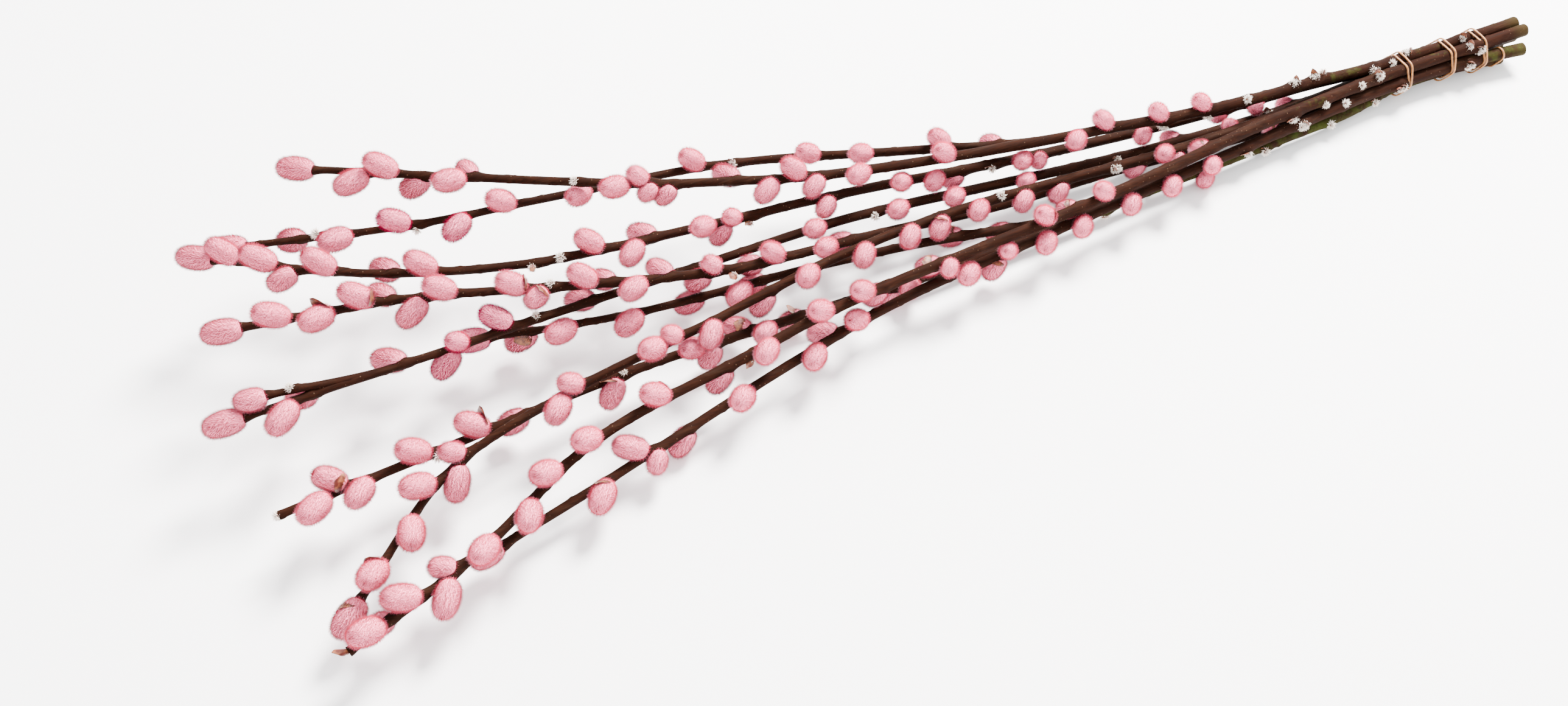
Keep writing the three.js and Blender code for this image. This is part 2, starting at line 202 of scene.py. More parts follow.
class Recipe:
    """A material under construction: one Principled shader and the nodes that feed it."""

    def __init__(self, name: str) -> None:
        """Start an empty material.

        Args:
            name: The material's name.
        """
        self.material = bpy.data.materials.new(name)
        self.material.use_nodes = True
        self.tree = self.material.node_tree
        self.tree.nodes.clear()
        self.shader = self.tree.nodes.new("ShaderNodeBsdfPrincipled")
        output = self.tree.nodes.new("ShaderNodeOutputMaterial")
        self.tree.links.new(self.shader.outputs[0], output.inputs["Surface"])

    def node(self, kind: str, settings: Optional[dict[str, Any]] = None,
             inputs: Optional[dict[Any, Any]] = None, output: Union[int, str] = 0) -> Value:
        """Add any node.

        Args:
            kind: The node's type.
            settings: The node's own settings; `stops` fills a colour ramp.
            inputs: A number, a tuple or a Value for each socket, by name or place.
            output: The socket that the result is read from.

        Returns:
            The chosen output.
        """
        made = self.tree.nodes.new(kind)
        for name, value in (settings or {}).items():
            if name == "stops":
                self._fill_ramp(made.color_ramp, value)
            else:
                setattr(made, name, value)
        for key, value in (inputs or {}).items():
            if isinstance(value, Value):
                self.tree.links.new(value.socket, made.inputs[key])
            else:
                made.inputs[key].default_value = value
        return Value(self, made.outputs[output])

    @staticmethod
    def _fill_ramp(ramp: bpy.types.ColorRamp, stops: Sequence[tuple[float, Colour]]) -> None:
        """Put stops on a colour ramp."""
        while len(ramp.elements) < len(stops):
            ramp.elements.new(1.0)
        for element, (place, colour) in zip(ramp.elements, stops):
            element.position = place
            element.color = (*colour, 1.0)

    def place(self) -> Value:
        """Give the point's place in the piece, in metres."""
        return self.node("ShaderNodeTexCoord", output="Object")

    def map_axis(self, axis: int) -> Value:
        """Give one coordinate of the piece's own map."""
        spot = self.node("ShaderNodeUVMap", {"uv_map": BAKE_MAP})
        return self.node("ShaderNodeSeparateXYZ", inputs={0: spot}, output=axis)

    def stretched(self, spot: Value, scales: tuple[float, float, float]) -> Value:
        """Scale a place along each axis."""
        settings = {"operation": "MULTIPLY"}
        return self.node("ShaderNodeVectorMath", settings, {0: spot, 1: scales})

    def cloud(self, spot: Value, scale: float, detail: float = 3.0, roughness: float = 0.55) -> Value:
        """Add a soft noise.

        Args:
            spot: Where the noise is read.
            scale: How many of its blobs fit in a metre.
            detail: How many finer layers it has.
            roughness: How strong those are.

        Returns:
            The noise, about 0 to 1.
        """
        inputs = {"Vector": spot, "Scale": scale, "Detail": detail, "Roughness": roughness}
        return self.node("ShaderNodeTexNoise", {}, inputs)

    def blend(self, share: Number, first: Any, second: Any) -> Value:
        """Mix two colours.

        Args:
            share: How much of the second.
            first: A colour or a Value.
            second: A colour or a Value.

        Returns:
            The mixed colour.
        """
        colours = [c if isinstance(c, Value) else (*c, 1.0) for c in (first, second)]
        inputs = {0: share, 6: colours[0], 7: colours[1]}
        return self.node("ShaderNodeMix", {"data_type": "RGBA"}, inputs, output=2)

    def feed(self, socket: str, value: Any) -> None:
        """Set or link one of the shader's sockets."""
        if isinstance(value, Value):
            self.tree.links.new(value.socket, self.shader.inputs[socket])
        else:
            self.shader.inputs[socket].default_value = value

    def bump(self, height: Value, strength: float, distance: float) -> None:
        """Tilt the shading normal by a height.

        Args:
            height: The height, about 0 to 1.
            strength: How much of the effect is kept.
            distance: What a height of 1 stands for, in metres.
        """
        inputs = {"Strength": strength, "Distance": distance, "Height": height}
        self.feed("Normal", self.node("ShaderNodeBump", {}, inputs))


# ---- finishes -------------------------------------------------------------------------------
@dataclass(frozen=True)
class Bark:
    """Smooth willow bark: streaks along the rod, pale pores, weathered film and algae."""

    name: str
    young: Colour = (0.0165, 0.0048, 0.0022)
    old: Colour = (0.0062, 0.0018, 0.0009)
    film: Colour = (0.028, 0.014, 0.008)
    pore: Colour = (0.10, 0.06, 0.036)
    algae: Colour = (0.026, 0.034, 0.006)
    cut_tint: Colour = (0.044, 0.034, 0.011)
    algae_from: float = 0.2
    algae_to: float = 0.6
    algae_share: float = 0.2
    cut_at: float = 0.39
    stretch: tuple[float, float, float] = (0.12, 1.0, 1.0)

    def build(self) -> bpy.types.Material:
        """Make the material.

        Returns:
            The bark's material.
        """
        recipe = Recipe(self.name)
        spot = recipe.place()
        along = recipe.stretched(spot, self.stretch)
        streaks = recipe.cloud(along, 900.0, 4.0, 0.6)
        patches = recipe.cloud(spot, 38.0, 3.0)
        film = recipe.cloud(along, 260.0, 5.0, 0.62).between(0.5, 0.72)
        colour = recipe.blend(streaks.between(0.22, 0.72), self.old, self.young)
        colour = recipe.blend(patches.between(0.35, 0.7) * 0.45, colour, self.old)
        colour = recipe.blend(film * 0.3, colour, self.film)
        pores = recipe.node(
            "ShaderNodeTexVoronoi", {"feature": "F1"}, {"Vector": spot, "Scale": 330.0}, output="Distance"
        )
        pore_mask = 1 - pores.between(0.07, 0.14)
        colour = recipe.blend(pore_mask * 0.4, colour, self.pore)
        far_end = recipe.node("ShaderNodeSeparateXYZ", inputs={0: spot}, output=0)
        reach = far_end.between(self.algae_from - 0.03, self.algae_from + 0.03)
        reach = reach * (1 - far_end.between(self.algae_to - 0.015, self.algae_to + 0.015))
        growth = recipe.cloud(spot, 70.0, 5.0, 0.7).between(0.62 - 0.3 * self.algae_share, 0.75)
        algae_mask = growth * reach * min(1.0, 0.3 + self.algae_share)
        cut_film = far_end.between(self.cut_at - 0.016, self.cut_at) * 0.35
        colour = recipe.blend(cut_film, colour, self.cut_tint)
        colour = recipe.blend(algae_mask, colour, self.algae)
        recipe.feed("Base Color", colour)
        recipe.feed("Roughness", 0.6 + 0.3 * streaks + 0.1 * algae_mask)
        recipe.feed("Specular IOR Level", 0.03)
        recipe.bump(streaks + 0.6 * film + 0.8 * pore_mask, 0.55, 0.25 * MM)
        return recipe.material


@dataclass(frozen=True)
class CutWood:
    """A cut face that has aged in water: green under the bark, tan wood, brown pith."""

    name: str
    light: Colour
    dark: Colour

    def build(self) -> bpy.types.Material:
        """Make the material.

        Returns:
            The cut face's material.
        """
        recipe = Recipe(self.name)
        grain = recipe.cloud(recipe.place(), 900.0, 4.0)
        recipe.feed("Base Color", recipe.blend(grain.between(0.3, 0.7), self.dark, self.light))
        recipe.feed("Roughness", 0.7 + 0.2 * grain)
        recipe.bump(grain, 0.6, 0.3 * MM)
        return recipe.material


@dataclass(frozen=True)
class CatkinFur:
    """Dyed catkin hair: deep at the root and pale at the end, each catkin with its own tone. The pale ends
    are partly the hair's own paler tips and partly painted glow of light through them.
    """

    name: str = "catkin_fur"
    pale: Colour = (1.0, 0.28, 0.41)
    rose: Colour = (0.97, 0.19, 0.30)
    dusky: Colour = (0.74, 0.19, 0.23)
    magenta: Colour = (0.62, 0.012, 0.19)
    bract: Colour = (0.30, 0.05, 0.07)
    # Pale hair tips: partly the hair's own paler tips, partly painted glow of light shining through them.
    pale_tip_and_glow: Colour = (1.0, 0.57, 0.69)
    root: Colour = (1.0, 0.23, 0.35)

    def build(self) -> bpy.types.Material:
        """Make the material. Its map runs across the tones and along each hair.

        Returns:
            The hair's material.
        """
        recipe = Recipe(self.name)
        tone = recipe.map_axis(0)
        along = recipe.map_axis(1)
        stops = [(0.0, self.pale), (0.35, self.rose), (0.62, self.dusky), (0.76, self.magenta),
                 (0.88, self.magenta), (0.97, self.bract)]
        dye = recipe.node("ShaderNodeValToRGB", {"stops": stops}, {0: tone})
        frosted = 1 - tone.between(0.55, 0.76)
        hair = recipe.blend((1 - along.between(0.0, 0.4)) * 0.5 * frosted, dye, self.root)
        # Painted light: the pale tip colour is partly the hair's own paler tips and partly a painted glow of
        # light through the hair tips.
        hair = recipe.blend(along.between(0.2, 0.8) * frosted * 0.9, hair, self.pale_tip_and_glow)
        recipe.feed("Base Color", hair)
        recipe.feed("Roughness", 0.9)
        recipe.feed("Specular IOR Level", 0.0)
        return recipe.material


@dataclass(frozen=True)
class CatkinHeart:
    """The catkin under its hair: packed bracts, seen as dark specks in rose down."""

    name: str = "catkin_heart"
    down: Colour = (1.0, 0.28, 0.40)
    bract: Colour = (0.88, 0.18, 0.28)

    def build(self) -> bpy.types.Material:
        """Make the material.

        Returns:
            The heart's material.
        """
        recipe = Recipe(self.name)
        spot = recipe.place()
        cells = recipe.node(
            "ShaderNodeTexVoronoi", {"feature": "F1"}, {"Vector": spot, "Scale": 900.0}, output="Distance"
        )
        specks = 1 - cells.between(0.2, 0.5)
        recipe.feed("Base Color", recipe.blend(specks * 0.7, self.down, self.bract))
        recipe.feed("Roughness", 0.9)
        recipe.feed("Specular IOR Level", 0.0)
        recipe.bump(specks, 0.4, 0.3 * MM)
        return recipe.material


@dataclass(frozen=True)
class BudHair:
    """Undyed silky hair of an unopened bud, with a touch of dye at its ends."""

    name: str = "bud_hair"
    white: Colour = (0.86, 0.78, 0.70)
    root: Colour = (0.20, 0.14, 0.115)
    blush: Colour = (0.82, 0.52, 0.50)

    def build(self) -> bpy.types.Material:
        """Make the material. Its map runs across the tones and along each hair.

        Returns:
            The hair's material.
        """
        recipe = Recipe(self.name)
        tone = recipe.map_axis(0)
        along = recipe.map_axis(1)
        silk = recipe.blend(tone.between(0.4, 0.9), self.white, self.blush)
        recipe.feed("Base Color", recipe.blend(along.between(0.0, 0.35), self.root, silk))
        recipe.feed("Roughness", 0.8)
        recipe.feed("Specular IOR Level", 0.1)
        return recipe.material


@dataclass(frozen=True)
class BudScale:
    """A dry bud scale: smooth, red-brown, mottled with tan."""

    name: str = "bud_scale"
    heart: Colour = (0.075, 0.015, 0.008)
    edge: Colour = (0.25, 0.085, 0.03)

    def build(self) -> bpy.types.Material:
        """Make the material.

        Returns:
            The scale's material.
        """
        recipe = Recipe(self.name)
        spot = recipe.place()
        mottle = recipe.cloud(spot, 420.0, 4.0)
        recipe.feed("Base Color", recipe.blend(mottle.between(0.4, 0.72), self.heart, self.edge))
        recipe.feed("Roughness", 0.3 + 0.3 * mottle)
        recipe.feed("Specular IOR Level", 0.5)
        recipe.bump(mottle, 0.4, 0.2 * MM)
        return recipe.material


@dataclass(frozen=True)
class Rubber:
    """Thin tan rubber under a little dust."""

    name: str = "tan_rubber"
    light: Colour = (0.33, 0.125, 0.022)
    dark: Colour = (0.17, 0.058, 0.010)

    def build(self) -> bpy.types.Material:
        """Make the material.

        Returns:
            The rubber's material.
        """
        recipe = Recipe(self.name)
        dust = recipe.cloud(recipe.place(), 600.0, 4.0)
        recipe.feed("Base Color", recipe.blend(dust.between(0.35, 0.7), self.dark, self.light))
        recipe.feed("Roughness", 0.45 + 0.25 * dust)
        recipe.bump(dust, 0.3, 0.1 * MM)
        return recipe.material


@dataclass(frozen=True)
class PaperFloor:
    """The pale sheet that the bunch lies on."""

    name: str = "pale_floor"
    colour: Colour = (0.93, 0.925, 0.93)

    def build(self) -> bpy.types.Material:
        """Make the material.

        Returns:
            The floor's material.
        """
        recipe = Recipe(self.name)
        grain = recipe.cloud(recipe.place(), 220.0, 2.0)
        shade = tuple(0.985 * c for c in self.colour)
        recipe.feed("Base Color", recipe.blend(grain, self.colour, shade))
        recipe.feed("Roughness", 0.85)
        recipe.feed("Specular IOR Level", 0.1)
        return recipe.material


# ---- meshes ---------------------------------------------------------------------------------
@dataclass
class Patch:
    """Points, faces, and what each face corner or point carries, gathered before a mesh is made."""

    points: list[Array] = field(default_factory=list)
    faces: list[Array] = field(default_factory=list)
    spots: list[Array] = field(default_factory=list)
    normals: list[Array] = field(default_factory=list)
    slots: list[Array] = field(default_factory=list)
    count: int = 0

    def add(self, points: Array, faces: Array, spots: Optional[Array] = None,
            normals: Optional[Array] = None, slot: int = 0) -> None:
        """Add a bit of surface.

        Args:
            points: Rows of places.
            faces: Rows of point numbers, three or four to a face.
            spots: Where each face corner lies on the piece's map.
            normals: The shading direction at each point.
            slot: The material slot of the faces.
        """
        self.points.append(points)
        self.faces.append(faces + self.count)
        self.slots.append(np.full(len(faces), slot))
        if spots is not None:
            self.spots.append(spots.reshape(-1, 2))
        if normals is not None:
            self.normals.append(normals)
        self.count += len(points)

    def build(self, name: str, materials: Sequence[bpy.types.Material]) -> bpy.types.Object:
        """Turn the patch into an object.

        Args:
            name: The piece's name.
            materials: One for each slot.

        Returns:
            The new object.
        """
        mesh = bpy.data.meshes.new(name)
        points = np.concatenate(self.points)
        corners = np.concatenate([rows.ravel() for rows in self.faces])
        sizes = np.concatenate([np.full(len(rows), rows.shape[1]) for rows in self.faces])
        starts = np.concatenate([[0], np.cumsum(sizes)[:-1]])
        mesh.vertices.add(len(points))
        mesh.vertices.foreach_set("co", points.ravel())
        mesh.loops.add(len(corners))
        mesh.loops.foreach_set("vertex_index", corners.astype(np.int32))
        mesh.polygons.add(len(sizes))
        mesh.polygons.foreach_set("loop_start", starts.astype(np.int32))
        mesh.polygons.foreach_set("material_index", np.concatenate(self.slots).astype(np.int32))
        if self.spots:
            layer = mesh.uv_layers.new(name=BAKE_MAP)
            layer.data.foreach_set("uv", np.concatenate(self.spots).astype(np.float32).ravel())
        for material in materials:
            mesh.materials.append(material)
        mesh.update(calc_edges=True)
        mesh.shade_smooth()
        if self.normals:
            mesh.normals_split_custom_set_from_vertices(unit(np.concatenate(self.normals)))
        made = bpy.data.objects.new(name, mesh)
        bpy.context.scene.collection.objects.link(made)
        return made


def grid_faces(rows: int, columns: int, closed: bool) -> Array:
    """Number the faces of a grid of points.

    Args:
        rows: How many rows of points.
        columns: How many points in a row.
        closed: True when each row joins up into a ring.

    Returns:
        Four point numbers for each face.
    """
    across = columns if closed else columns - 1
    row, column = np.meshgrid(np.arange(rows - 1), np.arange(across), indexing="ij")
    here = row * columns + column
    beside = row * columns + (column + 1) % columns
    return np.stack([here, beside, beside + columns, here + columns], axis=-1).reshape(-1, 4)


def ring_points(centre: Array, axis_a: Array, axis_b: Array, radius: Array, turns: Array) -> Array:
    """Place rings of points.

    Args:
        centre: A centre for each ring.
        axis_a: The direction of angle 0 for each ring.
        axis_b: The direction a quarter turn on.
        radius: The radius at each ring and angle.
        turns: The angles, in radians.

    Returns:
        An array of ring, angle and coordinate.
    """
    out = axis_a[:, None] * np.cos(turns)[None, :, None] + axis_b[:, None] * np.sin(turns)[None, :, None]
    return centre[:, None] + radius[..., None] * out


# ---- reading the frame ----------------------------------------------------------------------
class Growth(Enum):
    """What a spindle on a rod stands for, with its number of sides in the frame."""

    CATKIN = 6
    BUD = 5


@dataclass(frozen=True)
class SpindleRule:
    """Where a frame spindle's last ring lies along it, and the ring's share of its girth."""

    ring_at: float
    ring_girth: float


SPINDLE_RULES = {
    Growth.CATKIN: SpindleRule(0.72, 0.9),
    Growth.BUD: SpindleRule(0.70, 0.75),
}


@dataclass
class Spindle:
    """A catkin or bud: where it starts in its rod, which way it points, and its size."""

    growth: Growth
    base: Array
    axis: Array
    length: float
    radius: float
    stem: int = 0
    distance: float = 0.0
    sunk: float = 0.0

    @property
    def seat(self) -> Array:
        """Give the place where it comes out of the bark."""
        return self.base + self.sunk * self.axis


@dataclass
class Stem:
    """A rod or branch as a line of close centres from its thick end to its tip."""

    name: str
    centres: Array
    radii: Array
    spindles: list[Spindle] = field(default_factory=list)
    is_branch: bool = False

    def nearest(self, point: Array) -> tuple[int, float]:
        """Find the step of the line nearest to a point.

        Args:
            point: The point.

        Returns:
            The step's number, and how far the point is from its centre.
        """
        gaps = np.linalg.norm(self.centres - point, axis=1)
        step = int(np.argmin(gaps))
        return step, float(gaps[step])


@dataclass
class RodReader:
    """Reads one rod's stems, catkins and buds back from its frame solid."""

    node: str
    stride: float = 4 * MM
    feelers: int = 18
    girth_of_facets: float = 0.93
    merge_within: float = 0.01 * MM
    shortest: float = 2 * MM
    leanest: float = 0.25
    stoutest: float = 0.8
    lowest_bump: float = 1.25 * MM
    small_bud: float = 3 * MM
    bud_lean: float = math.radians(36)

    def __post_init__(self) -> None:
        """Merge the solid's shared points and get ready to feel for its walls."""
        shape = bmesh.new()
        shape.from_mesh(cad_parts[self.node].data)
        bmesh.ops.remove_doubles(shape, verts=shape.verts, dist=self.merge_within)
        self.points = np.array([point.co for point in shape.verts])
        self.tree = BVHTree.FromBMesh(shape)
        self.neighbours = [
            [edge.other_vert(point).index for edge in point.link_edges] for point in shape.verts
        ]
        shape.free()

    def spindles(self) -> list[Spindle]:
        """Find each spindle by its point: a regular low pyramid of five or six sides.

        Returns:
            The catkins and buds, tips of the rod first.
        """
        found = []
        for index, around in enumerate(self.neighbours):
            if len(around) not in (Growth.CATKIN.value, Growth.BUD.value):
                continue
            rim = self.points[around]
            edges = np.linalg.norm(rim - self.points[index], axis=1)
            middle = rim.mean(axis=0)
            spokes = np.linalg.norm(rim - middle, axis=1)
            rise = float(np.linalg.norm(self.points[index] - middle))
            if np.ptp(edges) > 0.01 * edges.mean() or np.ptp(spokes) > 0.01 * spokes.mean():
                continue
            growth = Growth(len(around))
            rule = SPINDLE_RULES[growth]
            length = rise / (1 - rule.ring_at)
            girth = float(spokes.mean()) / rule.ring_girth
            if length < self.shortest or not self.leanest < girth / length < self.stoutest:
                continue
            axis = unit(self.points[index] - middle)
            base = self.points[index] - length * axis
            found.append(Spindle(growth, base, axis, length, girth))
        found.sort(key=lambda spindle: (round(spindle.base[0], 5), round(spindle.base[1], 5)))
        return found

    def _feel(self, centre: Array, along: Array, girth: float) -> tuple[Array, float, int]:
        """Centre a point between the walls of the rod.

        Args:
            centre: A point inside the rod.
            along: The rod's direction there.
            girth: The radius expected.

        Returns:
            The better centre, the radius, and how many feelers touched the rod's own wall.
        """
        top, right = square_to(along)
        reach = 1.3 * girth + 0.3 * MM
        shift = np.zeros(3)
        for _ in range(3):
            walls = []
            for k in range(self.feelers):
                turn = 2 * math.pi * k / self.feelers
                way = top * math.cos(turn) + right * math.sin(turn)
                hit = self.tree.ray_cast(Vector(centre + shift), Vector(way), reach)[3]
                walls.append((way, hit))
            half = self.feelers // 2
            pairs = [(walls[k], walls[k + half]) for k in range(half)]
            good = [(a, b) for a, b in pairs if a[1] is not None and b[1] is not None]
            if len(good) < 3:
                break
            pull = sum(0.5 * (a[1] - b[1]) * a[0] for a, b in good) / len(good)
            shift = shift + 2 * pull
        touched = [hit for _, hit in walls if hit is not None]
        radius = float(np.mean(touched)) if touched else girth
        return centre + shift, radius, len(touched)

    def _trace(self, start: Array, along: Array, girth: float, ends: list[Spindle],
               stop_at: Optional[Stem] = None) -> tuple[list[Array], list[float]]:
        """Walk inside the rod from one end.

        Args:
            start: The first centre.
            along: The first direction.
            girth: The radius there.
            ends: The walk is over at the one of these that points straight on.
            stop_at: A stem that the walk runs into, if any.

        Returns:
            The centres and the radii that were felt.
        """
        centres, radii = [start], [girth]
        while len(centres) < 400:
            guess = centres[-1] + along * self.stride
            centre, radius, touched = self._feel(guess, along, radii[-1])
            if touched == 0 and stop_at is None:
                break
            if touched < self.feelers // 3:
                centre, radius = guess, radii[-1]
            radius = min(max(radius, 0.85 * radii[-1]), 1.15 * radii[-1])
            centres.append(centre)
            radii.append(radius)
            back = centres[-min(5, len(centres))]
            along = unit(centre - back)
            tip = next((end for end in ends if self._caps(end, centre, along)), None)
            if tip is not None:
                centres += [tip.base, tip.base + 0.15 * tip.length * tip.axis]
                radii += [0.95 * radii[-1], 0.85 * radii[-1]]
                break
            if stop_at is not None:
                step, gap = stop_at.nearest(centre)
                if gap < 0.5 * stop_at.radii[step]:
                    for ahead in (5, 9, 13):
                        inner = max(step - ahead, 0)
                        centres.append(stop_at.centres[inner])
                        radii.append(min(radii[-1], 0.8 * float(stop_at.radii[inner])))
                    break
        return centres, radii

    def _caps(self, spindle: Spindle, centre: Array, along: Array) -> bool:
        """Tell whether a catkin or bud stands on the end of a walk."""
        straight_on = float(spindle.axis @ along) > 0.93
        return straight_on and float(np.linalg.norm(spindle.base - centre)) < 1.2 * self.stride

    def _finished(self, name: str, centres: list[Array], radii: list[float], branch: bool) -> Stem:
        """Smooth a walk into a stem of even steps.

        Args:
            name: The stem's name.
            centres: The centres that were felt.
            radii: The radii that were felt.
            branch: True for a branch.

        Returns:
            The stem.
        """
        rows = np.column_stack([np.array(centres), np.array(radii) / self.girth_of_facets])
        rows = smoothed(rows, 2.5)
        steps = np.linalg.norm(np.diff(rows[:, :3], axis=0), axis=1)
        lengths = np.concatenate([[0], np.cumsum(steps)])
        even = np.linspace(0, lengths[-1], max(8, int(lengths[-1] / (1.6 * MM))))
        rows = np.stack([np.interp(even, lengths, rows[:, k]) for k in range(4)], axis=1)
        return Stem(name, rows[:, :3], rows[:, 3], is_branch=branch)

    def stems(self) -> list[Stem]:
        """Read the whole rod and its branches.

        Returns:
            The main stem first, then its branches, each with its own spindles.
        """
        spindles = self.spindles()
        catkins = [s for s in spindles if s.growth is Growth.CATKIN]
        far = self.points[:, 0].max()
        cut_face = self.points[self.points[:, 0] > far - 0.8 * MM]
        start = cut_face.mean(axis=0)
        girth = float(np.percentile(np.linalg.norm(cut_face - start, axis=1), 90))
        centres, radii = self._trace(start, np.array([-1.0, 0.0, 0.0]), girth, spindles)
        stems = [self._finished(self.node, centres, radii, False)]
        for _ in range(2):
            loose = [s for s in catkins if min(self._gap(stem, s) for stem in stems) > 1.2 * MM]
            if not loose:
                break
            tip = loose[0]
            centres, radii = self._trace(
                tip.base + 3 * MM * tip.axis, -tip.axis, 1.6 * MM, [], stop_at=stems[0]
            )
            name = f"{self.node}_branch"
            stems.append(self._finished(name, centres[::-1], radii[::-1], True))
        spindles += self._small_buds(stems, spindles)
        for spindle in spindles:
            spindle.stem = min(range(len(stems)), key=lambda k: self._gap(stems[k], spindle))
            owner = stems[spindle.stem]
            step, _ = owner.nearest(spindle.base)
            gaps = np.linalg.norm(np.diff(owner.centres[step:], axis=0), axis=1)
            spindle.distance = float(gaps.sum())
            spindle.sunk = self._sunk(owner, spindle)
            owner.spindles.append(spindle)
        return stems

    def _small_buds(self, stems: list[Stem], known: list[Spindle]) -> list[Spindle]:
        """Find the small buds whose feet are lost in the bark, by the bumps that they leave.

        This is a guess from the shape alone. A bud that leaves two bumps counts as two buds, and
        a very small catkin can pass for a bud.

        Args:
            stems: The rod's stems.
            known: The spindles that are already found.

        Returns:
            A bud for each bump.
        """
        bumps = []
        for point in self.points:
            places = [stem.nearest(point) for stem in stems]
            rises = [gap - stem.radii[step] for stem, (step, gap) in zip(stems, places)]
            owner = int(np.argmin(rises))
            if rises[owner] > self.lowest_bump:
                bumps.append((float(rises[owner]), tuple(point), owner, places[owner][0]))
        found: list[Spindle] = []
        for _, tip, owner, step in sorted(bumps, reverse=True):
            stem, point = stems[owner], np.array(tip)
            last = len(stem.centres) - 1
            if any(self._holds(spindle, point) for spindle in known + found) or step > last - 4:
                continue
            along = unit(stem.centres[min(step + 3, last)] - stem.centres[step])
            out = unit(point - stem.centres[step])
            axis = unit(math.cos(self.bud_lean) * along + math.sin(self.bud_lean) * out)
            base = point - self.small_bud * axis
            found.append(Spindle(Growth.BUD, base, axis, self.small_bud, 0.3 * self.small_bud))
        return found

    @staticmethod
    def _holds(spindle: Spindle, point: Array) -> bool:
        """Tell whether a point belongs to a spindle."""
        middle = spindle.base + 0.5 * spindle.length * spindle.axis
        return float(np.linalg.norm(point - middle)) < 0.75 * spindle.length + 1 * MM

    def _sunk(self, stem: Stem, spindle: Spindle) -> float:
        """Tell how much of a spindle lies in the bark of its stem.

        Args:
            stem: The stem.
            spindle: The spindle.

        Returns:
            How far along its axis it comes out of the bark.
        """
        for reach in np.arange(0.1 * MM, 0.6 * spindle.length, 0.1 * MM):
            step, gap = stem.nearest(spindle.base + reach * spindle.axis)
            if gap > float(stem.radii[step]) or step == len(stem.radii) - 1:
                return float(reach)
        return 0.6 * spindle.length

    @staticmethod
    def _gap(stem: Stem, spindle: Spindle) -> float:
        """Tell how far a spindle's base is outside a stem's skin."""
        step, gap = stem.nearest(spindle.base)
        return gap - float(stem.radii[step])


# ---- sub-assemblies -------------------------------------------------------------------------
@dataclass
class Strips:
    """A map in side-by-side strips, so that long rods fill a square map evenly."""

    total: float
    count: int = 6
    gutter: float = 0.006
    used: float = 0.0

    def corners(self, lengths: Array, turns: int) -> Array:
        """Map a tube's faces.

        Args:
            lengths: How far along the tube each ring lies.
            turns: How many sides the tube has.

        Returns:
            A place on the map for each face corner, in the order of `grid_faces`.
        """
        share = self.total * 1.04 / self.count
        start = self.used + lengths[:-1]
        strip = np.minimum(np.floor(start / share), self.count - 1)
        low = (start - strip * share) / share
        high = (self.used + lengths[1:] - strip * share) / share
        self.used += float(lengths[-1]) + 0.004 * self.total
        room = 1 - 2 * self.gutter
        low, high = self.gutter + room * low / 1.04, self.gutter + room * high / 1.04
        left = self.gutter + (1 / self.count - 2 * self.gutter) * np.arange(turns) / turns
        right = self.gutter + (1 / self.count - 2 * self.gutter) * np.arange(1, turns + 1) / turns
        across_low = strip[:, None] / self.count + left[None]
        across_high = strip[:, None] / self.count + right[None]
        bottom = np.repeat(low[:, None], turns, axis=1)
        top = np.repeat(high[:, None], turns, axis=1)
        rows = [(across_low, bottom), (across_high, bottom), (across_high, top), (across_low, top)]
        return np.stack([np.stack(pair, axis=-1) for pair in rows], axis=2).reshape(-1, 4, 2)


